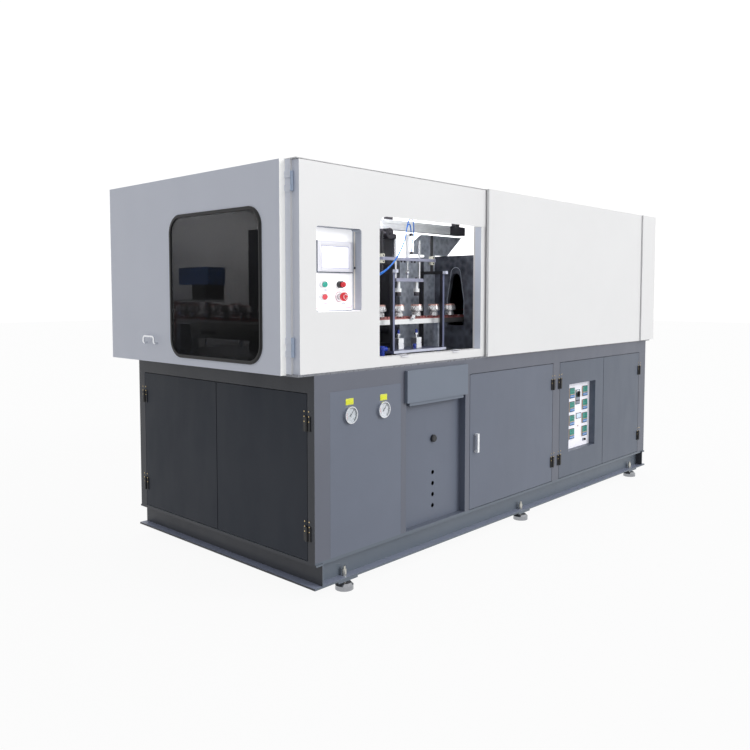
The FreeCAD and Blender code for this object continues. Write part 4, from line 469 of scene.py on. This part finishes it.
def dress_nodes():
    """Every CAD node in the finish of its slot, then the faces that differ."""
    doors = "valve_door", "electrical_door_left", "electrical_door_right"
    ends = "lower_end_door_front", "lower_end_door_back"
    # Painted light and shade among these finishes: the control box's glowing white and the
    # temperature plate's glow are painted light, the base frame's darker web paint and the lower
    # end doors' darkened paint are painted shade.
    own = {"foot_pads": "foot_chrome", "clamp_frame": "clamp_paint", "mould_left": "clamp_paint",
           "mould_right": "clamp_paint", "control_box": "recess_lit_white", "base_frame": "base_web_shade",
           "preform_chain": "pale_steel", "electrical_door_left": "electric_paint",
           "electrical_door_right": "electric_paint", "valve_door_handle": "white_alloy",
           "gauge_panel": "gauge_paint", "temperature_panel": "scale_lit_white",
           "red_button": "soft_red_cap", "transfer_beam": "white_alloy",
           "air_cylinders": "white_alloy", **dict.fromkeys(ends, "end_door_shade")}
    for row in frame["record"]["subparts"]:
        name = row["node"]
        dress(frame["nodes"][name], own.get(name, row["material_slot"]))
    dress_lower(doors, ends)
    dress_guard()
    dress_loader()
    dress_transport()


# ---------------------------------------------------------------- shapes
class Shape:
    """Gathers blocks, turned forms and flat forms, in corner millimetres, into one piece."""

    def __init__(self):
        self.mesh = bmesh.new()

    def block(self, x, y, z, finish=0, bevel=0.4):
        """A block between limits, with rounded edges."""
        before = set(self.mesh.faces)
        cube = bmesh.ops.create_cube(self.mesh, size=1)["verts"]
        for vertex in cube:
            share = [part + 0.5 for part in vertex.co]
            vertex.co = place(*(low + (high - low) * part
                                for (low, high), part in zip((x, y, z), share)))
        edges = {edge for vertex in cube for edge in vertex.link_edges}
        bmesh.ops.bevel(self.mesh, geom=list(edges), offset=bevel / 1000, segments=2,
                        profile=0.5, affect="EDGES", clamp_overlap=True)
        for face in set(self.mesh.faces) - before:
            face.material_index = finish

    def skin(self, rings, finish):
        """Faces between rings of points, where a ring may be one point."""
        for low, high in zip(rings, rings[1:]):
            count = max(len(low), len(high))
            for k in range(count):
                follow = (k + 1) % count
                corners = (low[k % len(low)], low[follow % len(low)],
                           high[follow % len(high)], high[k % len(high)])
                face = self.mesh.faces.new(list(dict.fromkeys(corners)))
                face.material_index = finish

    def turned(self, spot, axis, profile, finish=0, count=24):
        """A form turned about an axis, from pairs of radius and distance along it."""
        axis = Vector(axis).normalized()
        side = axis.orthogonal().normalized()
        other = axis.cross(side)
        rings = []
        for radius, along in profile:
            centre = Vector(spot) + axis * along
            turns = range(count) if radius else (0,)
            rings.append([])
            for k in turns:
                angle = 2 * math.pi * k / count
                point = centre + (side * math.cos(angle) + other * math.sin(angle)) * radius
                rings[-1].append(self.mesh.verts.new(place(*point)))
        self.skin(rings, finish)

    def flat(self, outline, y, finish=0):
        """A flat form with an outline in x and z, between two values of y."""
        rings = [[self.mesh.verts.new(place(x, level, z)) for x, z in outline] for level in y]
        self.skin(rings, finish)
        for ring in rings:
            self.mesh.faces.new(ring).material_index = finish

    def piece(self, name, finishes, body, sharp=35):
        """The finished piece, riding on a body."""
        bmesh.ops.recalc_face_normals(self.mesh, faces=self.mesh.faces)
        mesh = bpy.data.meshes.new(name)
        self.mesh.to_mesh(mesh)
        self.mesh.free()
        mesh.polygons.foreach_set("use_smooth", [True] * len(mesh.polygons))
        mesh.set_sharp_from_angle(angle=math.radians(sharp))
        target = bpy.data.objects.new(name, mesh)
        scene.collection.objects.link(target)
        for finish in finishes:
            mesh.materials.append(FINISHES[finish])
        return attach(target, body)


def sector(centre, inner, outer, start, end, steps):
    """The outline of a stretch of a ring in x and z, angles in degrees."""
    angles = [math.radians(start + (end - start) * k / steps) for k in range(steps + 1)]
    out = [(centre[0] + outer * math.cos(a), centre[1] + outer * math.sin(a)) for a in angles]
    back = [(centre[0] + inner * math.cos(a), centre[1] + inner * math.sin(a)) for a in angles]
    return out + back[::-1]


def bars(x, z, line):
    """The four bars just inside a rectangle: left, right, top and bottom."""
    return (((x[0], x[0] + line), z), ((x[1] - line, x[1]), z),
            (x, (z[1] - line, z[1])), (x, (z[0], z[0] + line)))


def dome(radius, height, steps=4):
    """Profile of a low domed head."""
    angles = [math.pi / 2 * k / steps for k in range(steps + 1)]
    return [(radius * math.cos(a) if k < steps else 0, height * math.sin(a))
            for k, a in enumerate(angles)]


# ---------------------------------------------------------------- cords
def route(start, leave, arrive, end, count):
    """Evenly parted points along a smooth curve between two ends and their two pulls."""
    points = []
    for k in range(count + 1):
        t = k / count
        share = ((1 - t) ** 3, 3 * t * (1 - t) ** 2, 3 * t * t * (1 - t), t ** 3)
        spots = (start, leave, arrive, end)
        points.append([sum(part * spot[axis] for part, spot in zip(share, spots))
                       for axis in range(3)])
    return points


def cord(name, points, diameter, finish):
    """A cord on one smooth line through its route's points."""
    data = bpy.data.curves.new(name, "CURVE")
    data.dimensions = "3D"
    data.bevel_depth = diameter / 2000
    data.bevel_resolution = 5
    data.use_fill_caps = True
    spline = data.splines.new("NURBS")
    spline.points.add(len(points) - 1)
    for target, point in zip(spline.points, points):
        target.co = (*place(*point), 1)
    spline.order_u = 3
    spline.use_endpoint_u = True
    spline.resolution_u = 10
    target = bpy.data.objects.new(name, data)
    scene.collection.objects.link(target)
    dress(target, finish)
    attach(target, "machine")
    return target


def cords():
    """The two air tubes to the loading cylinder and the servo cable."""
    upper_exit, lower_exit = [265.3, 28, 1265], [265.3, 40, 1253]
    upper_bend, lower_bend = [732.5, 168, 1467.6], [737.5, 174, 1461.6]
    upper_port, lower_port = [807.5, 200, 1487.6], [812.5, 200, 1401.6]

    def first_part(start, bend):
        return route(start, [start[0] + 170, start[1], start[2]],
                     [bend[0] - 50, bend[1], bend[2] - 115], bend, 9)

    x, y, z = upper_port
    points = first_part(upper_exit, upper_bend)
    points += route(upper_bend, [upper_bend[0], upper_bend[1], upper_bend[2] + 60],
                    [x, y, z + 72], [x, y, z + 12], 4)[1:]
    upper = cord("AirTubeUpper", points + [upper_port], 5, "tube_blue")
    x, y, z = lower_port
    points = first_part(lower_exit, lower_bend)
    points += route(lower_bend, [lower_bend[0] + 15, lower_bend[1], lower_bend[2] + 150],
                    [x + 50, y, z + 175], [x, y, z + 25], 7)[1:]
    lower = cord("AirTubeLower", points + [lower_port], 5, "tube_blue")
    for tube in (upper, lower):
        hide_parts("air_tubes")
    start = [261.3, 1131.1, 1288]
    hang = [306.3, 1157.1]
    points = route(start, [321.3, 1131.1, 1288], [*hang, 1198], [*hang, 1108], 5)
    floor, steps = 922.3, 4
    points += [[*hang, 1108 - (1108 - floor) * (k + 1) / steps] for k in range(steps)]
    cable = cord("ServoCable", points, 6, "cable_black")
    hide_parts("servo_cable")


# ---------------------------------------------------------------- pieces of the cabinet
def gauge_faces():
    """Scale marks on both dials and the yellow plates above them."""
    marks = Shape()
    ink = (-5.35, -5.05)
    first, sweep, gaps, tips = -45, 270, 24, 28.5
    rim, rim_ends, rim_steps = (29.2, 29.9), (-52, 232), 40
    zone, zone_ends, zone_steps = (20.5, 21.6), (150, 225), 14
    for x in (194, 392):
        centre = (x, 714)
        for k in range(gaps + 1):
            angle = first + sweep * k / gaps
            long, width = (5.5, 1.6) if k % 4 == 0 else (3, 1.0)
            marks.flat(sector(centre, tips - long, tips, angle - width, angle + width, 2), ink)
        marks.flat(sector(centre, *rim, *rim_ends, rim_steps), ink)
        marks.flat(sector(centre, *zone, *zone_ends, zone_steps), ink, 1)
    marks.piece("GaugeScales", ("instrument_black", "red_cap"), "machine")
    plates = Shape()
    height, inset, line = 26, 2.5, 0.8
    for low, high, top in ((170, 214, 781), (374, 417, 779)):
        plates.block((low, high), (-0.9, 0), (top - height, top), 0, 0.3)
        for level in (top - 3.2, top - 23.6):
            plates.block((low + inset, high - inset), (-1.1, -0.8), (level, level + line), 1, 0.1)
    plates.piece("GaugeLabels", ("label_yellow", "beige"), "machine")


def hinge_screws():
    """Three brassy screw heads on each leaf of every lower door hinge."""
    leaf_middle, leaf_face = 13.2, -4
    lows, rises = (262, 697), (9, 29, 49)
    head = [(2.9, 0), *dome(2.7, 0.9)]
    fronts = (("valve_door", 1793.5, -1), ("electrical_door_left", 1869.5, 1),
              ("electrical_door_right", 2903.5, -1))
    ends = (("lower_end_door_front", 41.5, 1), ("lower_end_door_back", 1234.5, -1))
    fixed = Shape()
    for group, axis in ((fronts, FRONT), (ends, LEFT)):
        for body, pin, side in group:
            moving = Shape()
            for shape, way in ((moving, side), (fixed, -side)):
                across = pin + way * leaf_middle
                for z in (low + rise for low in lows for rise in rises):
                    spot = (across, leaf_face, z) if axis == FRONT else (leaf_face, across, z)
                    shape.turned(spot, axis, head, 0, 14)
            moving.piece(f"HingeScrews_{body}", ("brass",), body)
    fixed.piece("HingeScrewsFixed", ("brass",), "machine")


def controller_faces():
    """The displays, digits and keys of the eight temperature controllers."""
    front = 32
    rows = (((25, 57), 0.8, 0, 0.4), ((19, 24), 0.7, 1, 0.3), ((3, 18), 0.8, 2, 0.4))
    digits, digit_start, digit_pitch, digit_line = ((42, 11, 8), (28, 9, 6)), 16, 12, 1.6
    key, key_start, key_pitch, key_rise = [(3, 0), (3, 0.6), (2.4, 1.0), (0, 1.0)], 10, 12.6, 10.5
    faces = Shape()
    for left, low in ((x, z) for x in (2046, 2202) for z in (348, 428.5, 509, 589.5)):
        for (bottom, top), thick, finish, bevel in rows:
            faces.block((left + 3, left + 55), (front - thick, front), (low + bottom, low + top),
                        finish, bevel)
        for rise, tall, wide in digits:
            for k in range(3):
                x, z = left + digit_start + digit_pitch * k, low + rise
                for bar_x, bar_z in bars((x, x + wide), (z, z + tall), digit_line):
                    faces.block(bar_x, (front - 1.1, front - 0.7), bar_z, 3, 0.1)
        for k in range(4):
            spot = (left + key_start + key_pitch * k, front - 0.8, low + key_rise)
            faces.turned(spot, FRONT, key, 4, 12)
    faces.piece("ControllerFaces", ("teal", "beige", "key_blue", "instrument_black", "screen"),
                "electrical_door_left")


def switch_faces():
    """The switch plate's window and keys, the display and the two small plates."""
    plate = Shape()
    for x, y, z, finish, bevel in (((2131, 2165), (35.4, 36), (618, 632), 1, 0.2),
                                   ((2126, 2170), (35.5, 36), (550, 588), 2, 0.2),
                                   ((2134.5, 2187.5), (35.2, 36), (463, 490), 0, 0.3),
                                   ((2214, 2230), (38, 39), (316, 334), 2, 0.3),
                                   ((2149, 2165), (38.4, 39), (412, 420), 4, 0.2)):
        plate.block(x, y, z, finish, bevel)
    for x in (2132, 2148, 2164):
        plate.turned((x, 35.5, 569), FRONT, [(4.6, 0), (4.6, 1.6), (3.8, 2.2), (0, 2.2)], 3, 16)
    plate.piece("SwitchFaces", ("display", "screen", "grey_mark", "instrument_black", "beige"),
                "electrical_door_left")


# ---------------------------------------------------------------- pieces of the control recess
def touch_screen():
    """The touch panel's raised rim, the line inside it, the screen and a line of painted shadow
    below it.
    """
    face = span("touch_panel")[1][0]
    x, z, line = (78, 230), (1303, 1391), 1.8
    rim_x, rim_z = (66, 244), (1291, 1406)
    rim = (((rim_x[0], x[0]), rim_z), ((x[1], rim_x[1]), rim_z),
           (x, (z[1], rim_z[1])), (x, (rim_z[0], z[0])))
    bezel = Shape()
    for bar_x, bar_z in rim:
        bezel.block(bar_x, (face - 1.6, face), bar_z, 0, 0.6)
    for bar_x, bar_z in bars(x, z, line):
        bezel.block(bar_x, (face - 0.9, face), bar_z, 1, 0.2)
    bezel.block((x[0] + line, x[1] - line), (face - 0.6, face), (z[0] + line, z[1] - line), 2, 0.2)
    # A dark line of painted shadow under the panel.
    bezel.block((58, 252), (face - 0.3, face), (1285, 1289), 3, 0.1)
    bezel.piece("TouchScreen", ("screen", "lilac", "screen_glow", "panel_side_shade"), "machine")


def button_marks():
    """Marks under the buttons, the line below them, the ring round the stop button and a line of
    painted shade along the recess's lower edge.
    """
    back, corner_x = 52, 246
    ink = (back - 0.3, back)
    dash, half_height = 5, 3
    marks = Shape()
    for x, z, finish in ((111, 1217, 1), (212, 1217, 0), (111, 1165, 0), (212, 1164, 1)):
        for start in (x - 9, x - 2, x + 5):
            marks.block((start, start + dash), ink, (z - half_height, z + half_height), finish, 0.1)
    marks.block((24, corner_x), ink, (1143.5, 1146.5), 0, 0.1)
    # A grey line of painted shade along the recess's lower edge.
    marks.block((17, 260), ink, (1132.6, 1136), 3, 0.1)
    marks.flat(sector((corner_x, 1158), 12, 14, -90, -10, 10), ink, 0)
    marks.turned((186, back, 1190), FRONT, [(22, 0), (22, 0.7), (17.5, 0.9), (17.5, 0)], 2, 32)
    marks.piece("ButtonMarks", ("pink_mark", "grey_mark", "stop_plate", "edge_shade_grey"), "machine")


def recess_wall():
    """The pale strip down the recess's right wall, with a faint glow of painted light, and its
    small lock.
    """
    wall, inner = 263, 262.3
    strip = Shape()
    strip.block((inner, wall), (36, 44), (1136, 1458), 0, 0.2)
    strip.piece("RecessStrip", ("strip",), "machine")
    lock = Shape()
    barrel = [(5, 0), (5, 0.8), (4.4, 1.2), (2.4, 1.2), (2.2, 0.5), (0, 0.5)]
    lock.turned((inner, 38, 1307), LEFT, barrel)
    lock.piece("RecessLock", ("dark_steel",), "machine")


def stop_arrows():
    """Three curved arrows on the stop button's face."""
    x, y, z = span("emergency_stop")
    middle, ink = (sum(x) / 2, sum(z) / 2), (y[0] - 0.3, y[0])
    inner, outer, tail, tip = 9, 11.4, 70, 92
    arrows = Shape()
    for turn in (20, 140, 260):
        arrows.flat(sector(middle, inner, outer, turn, turn + tail, 8), ink)
        head = []
        for radius, degrees in ((6.6, turn + tail), (13.6, turn + tail), (10.2, turn + tip)):
            angle = math.radians(degrees)
            head.append((middle[0] + radius * math.cos(angle),
                         middle[1] + radius * math.sin(angle)))
        arrows.flat(head, ink)
    arrows.piece("StopArrows", ("screen",), "emergency_stop")


# ---------------------------------------------------------------- pieces inside the guard
GRIPPERS = (735, 866)
SEAT_LINE = 215


def loader_bolts():
    """Bolt ends under the top plate, collar screws and the nuts over the gripper heads."""
    bolt = [(5.4, 0), (5.4, 5), (3.6, 5.6), (3.6, 8), (0, 8.4)]
    screw = [(3.2, 0), (3.2, 3.4), (2.4, 4), (0, 4)]
    nut = [(7, 0), (7, 5), (4, 6), (0, 6)]
    bolts = Shape()
    for x in (752, 776, 827, 850):
        bolts.turned((x, 212, 1357), DOWN, bolt, 0, 12)
    for post in (618.5, 982.5):
        for z in (1350, 1378):
            bolts.turned((post - 4, 201.6, z), FRONT, screw, 0, 12)
    for x in GRIPPERS:
        bolts.turned((x, SEAT_LINE, 1275), UP, nut, 0, 6)
    bolts.piece("LoaderBolts", ("dark_steel",), "machine")


def air_fittings():
    """The push-in fitting beside the cylinders, the blue valve and the tips of the lift rods."""
    push_in = [(6, 0), (6, 9), (8, 10), (8, 22), (6.5, 24), (0, 24)]
    valve = [(12, 0), (12, 22), (15, 24), (15, 40), (12, 44), (0, 44)]
    fittings = Shape()
    fittings.turned((798, 168, 942), UP, push_in, 0, 20)
    fittings.turned((566, 165, 922), UP, valve, 0, 20)
    fittings.turned((566, 165, 951), LEFT, [(9, -30), (11, -28), (11, 0)], 0, 20)
    fittings.piece("AirFittings", ("fitting_blue",), "machine")
    tip = [(6, 0), (6, 8), (4.5, 10), (4.5, 17), (0, 18)]
    tips = Shape()
    for x in GRIPPERS:
        tips.turned((x, SEAT_LINE, 1014), UP, tip, 0, 16)
    tips.piece("LiftTips", ("fitting_blue",), "lift_rods")


def wheel_and_pins():
    """The hub of the idler wheel, the index roller and the pins along the chain's front run."""
    wheel = [(24, 0), (24, 1.6), (20, 2.4), (14, 1.2), (9, 1.2), (9, 3.6), (7, 4.4), (4, 4.4),
             (3.4, 2.4), (0, 2.4)]
    hub = Shape()
    hub.turned((718, 254, 1486), FRONT, wheel, 0, 32)
    hub.piece("IdlerHub", ("dark_steel",), "machine")
    index = [(3.4, 0), (3.4, 16), (9, 16.5), (12, 18), (12, 30), (9.5, 32.5), (5, 32.5), (4.4, 31),
             (0, 31)]
    pin = [(3.4, 0), (3.4, 4), (2.4, 5), (0, 5)]
    seat_x, pitch, gaps, at_index, face = 211, 131, 8, 4, 207
    pins = Shape()
    pins.turned((800.5, face, 1092), FRONT, index)
    for k in range(gaps):
        if k != at_index:
            pins.turned((seat_x + pitch * (k + 0.5), face, 1091), FRONT, pin, 0, 14)
    pins.piece("ChainPins", ("bright_steel",), "machine")


def sill_clips():
    """Two white clips over the opening's lower edge."""
    clips = Shape()
    for left, right in ((512, 556), (878, 924)):
        clips.block((left, right), (-1.6, 14), (934.2, 939.6), 0, 0.8)
        clips.block((left, right), (-1.6, -0.2), (927, 939), 0, 0.5)
        clips.block((left + 8, right - 8), (0, 10), (938.6, 941), 0, 0.8)
    clips.piece("SillClips", ("instrument_white",), "machine")


def tunnel_rims():
    """The folded rims round the oven's two tunnels."""
    face = span("oven_housing")[0][0]
    half, low, shoulder, crown, radius, steps = 52.5, 1096, 1169, 1306, 30, 10
    wire, cap = 1.3, 0.4
    slope = math.degrees(math.atan2(half - radius, crown - shoulder))
    arc = [math.radians(slope + (180 - 2 * slope) * k / steps) for k in range(steps + 1)]
    line = [(half, low), (half, shoulder),
            *((radius * math.cos(a), crown + radius * math.sin(a)) for a in arc),
            (-half, shoulder), (-half, low)]
    rims = Shape()
    for middle in (SEAT_LINE, 1120):
        for (y1, z1), (y2, z2) in zip(line, line[1:]):
            start = Vector((face - 0.9, middle + y1, z1))
            way = Vector((0, y2 - y1, z2 - z1))
            rod = [(0, -cap), (wire, 0), (wire, way.length), (0, way.length + cap)]
            rims.turned(start, way, rod, 0, 8)
    rims.piece("TunnelRims", ("galvanised",), "machine")


def side_apron():
    """The pale apron under the chain's side run, with its slot."""
    face = span("conveyor_rail")[0][0]
    apron = Shape()
    apron.block((face - 3.4, face - 0.4), (409, 915), (1000, 1071), 0, 0.6)
    apron.block((face - 3.7, face - 3.3), (718, 830), (1018, 1032), 1, 0.1)
    apron.piece("SideApron", ("apron", "black_paint"), "machine")


# ---------------------------------------------------------------- light, floor and camera
def seen_share(nodes, share):
    """A share for rays that come from the camera, straight or by way of metal or glass."""
    path = nodes.add("ShaderNodeLightPath")
    both = nodes.add("ShaderNodeMath", operation="ADD")
    nodes.join(path, "Is Camera Ray", both, 0)
    nodes.join(path, "Is Glossy Ray", both, 1)
    every = nodes.add("ShaderNodeMath", operation="ADD", use_clamp=True)
    nodes.join(both, 0, every, 0)
    nodes.join(path, "Is Transmission Ray", every, 1)
    scaled = nodes.add("ShaderNodeMath", operation="MULTIPLY")
    scaled.inputs[1].default_value = share
    nodes.join(every, 0, scaled, 0)
    return scaled


def pale_floor():
    """A plain floor that keeps its shadows and looks pale to the camera."""
    bpy.ops.mesh.primitive_plane_add(size=60, location=(0, 0, 0))
    floor = bpy.context.object
    floor.name = "Floor"
    n = Finish("FloorPale")
    n.tone(n.noise(0.3, 2, 0.5), "Fac", (0.4, 0.4, 0.4, 1), 0.03)
    n.shader.inputs["Roughness"].default_value = 0.9
    glow = n.add("ShaderNodeEmission")
    glow.inputs["Strength"].default_value = 1.04
    mix = n.add("ShaderNodeMixShader")
    n.join(seen_share(n, 0.9), 0, mix, 0)
    n.join(n.shader, 0, mix, 1)
    n.join(glow, 0, mix, 2)
    n.join(mix, 0, n.output, 0)
    floor.data.materials.append(n.material)


def studio_sky():
    """A white background over a sky that is bright on the right, dim on the left and overhead."""
    world = bpy.data.worlds.new("Studio")
    scene.world = world
    world.use_nodes = True
    sky = Nodes(world.node_tree)
    output = sky.add("ShaderNodeOutputWorld")
    direction = sky.add("ShaderNodeTexCoord")
    dot = sky.add("ShaderNodeVectorMath", operation="DOT_PRODUCT")
    dot.inputs[1].default_value = Vector((1, 0, 0.35)).normalized()
    sky.join(direction, "Generated", dot, 0)
    half = sky.add("ShaderNodeMath", operation="MULTIPLY_ADD")
    half.inputs[1].default_value = 0.5
    half.inputs[2].default_value = 0.5
    sky.join(dot, "Value", half, 0)
    bright, overhead = 1.2, 0.72
    levels = ((0, 0.25, 0.27, 0.31), (0.15, 0.37, 0.385, 0.43), (0.5, 0.91, 0.91, 0.93),
              (0.65, 1.04, 1.04, 1.04), (1, bright, bright, bright))
    ramp = sky.ramp(half, 0, [(spot, (*(level / bright for level in colour), 1))
                              for spot, *colour in levels])
    split = sky.add("ShaderNodeSeparateXYZ")
    sky.join(direction, "Generated", split, 0)
    height = sky.add("ShaderNodeMapRange")
    height.inputs["To Min"].default_value = bright
    height.inputs["To Max"].default_value = bright * overhead
    sky.join(split, "Z", height, "Value")
    lit = sky.add("ShaderNodeBackground")
    sky.join(height, "Result", lit, "Strength")
    sky.join(ramp, "Color", lit, "Color")
    seen = sky.add("ShaderNodeBackground")
    seen.inputs["Color"].default_value = (1, 1, 1, 1)
    seen.inputs["Strength"].default_value = 1.05
    mix = sky.add("ShaderNodeMixShader")
    sky.join(seen_share(sky, 1), 0, mix, 0)
    sky.join(lit, 0, mix, 1)
    sky.join(seen, 0, mix, 2)
    sky.join(mix, 0, output, 0)


def lamp(name, kind, spot, target, energy, size):
    """A sun or an area lamp that looks from a spot to a target."""
    data = bpy.data.lights.new(name, kind)
    data.energy = energy
    if kind == "AREA":
        data.shape = "RECTANGLE"
        data.size, data.size_y = size
    else:
        data.angle = size
    made = bpy.data.objects.new(name, data)
    scene.collection.objects.link(made)
    made.location = spot
    made.rotation_euler = (Vector(target) - Vector(spot)).to_track_quat("-Z", "Y").to_euler()
    made.visible_camera = False


def lamps():
    """A soft sun from the front right and lamps under the guard's roof."""
    lamp("Key", "SUN", (4, -7, 4.3), (0, 0, 0.8), 1.34, 0.5)
    lamp("RoofFront", "AREA", place(740, 80, 1590), place(740, 300, 1150), 0.6, (0.6, 0.06))
    lamp("RoofLeft", "AREA", place(-10, 620, 1665), place(200, 620, 1000), 4.2, (0.8, 0.1))
    lamp("RoofMiddle", "AREA", place(620, 1000, 1640), place(620, 1100, 1200), 9.0, (0.9, 0.35))
    lamp("RoofRight", "AREA", place(2200, 850, 1560), place(2200, 1250, 1400), 12.0, (1.3, 0.25))


def camera():
    """The photo's view: its place, aim, lens and the shift that frames it."""
    eye, pitch, heading = place(-1982.16, -2169.28, 1203.77), -0.0593, -0.8227
    data = bpy.data.cameras.new("View")
    data.sensor_width = 36
    data.lens = 36.804
    data.shift_x = -0.00275
    data.shift_y = -0.0482
    made = bpy.data.objects.new("View", data)
    scene.collection.objects.link(made)
    made.location = eye
    made.rotation_euler = (math.pi / 2 + pitch, 0, heading)
    scene.camera = made


# ---------------------------------------------------------------- scene
scene.view_settings.view_transform = "Standard"
camera()
cords()
dress_nodes()
gauge_faces()
hinge_screws()
touch_screen()
button_marks()
recess_wall()
stop_arrows()
controller_faces()
switch_faces()
loader_bolts()
air_fittings()
wheel_and_pins()
sill_clips()
tunnel_rims()
side_apron()
pale_floor()
studio_sky()
lamps()
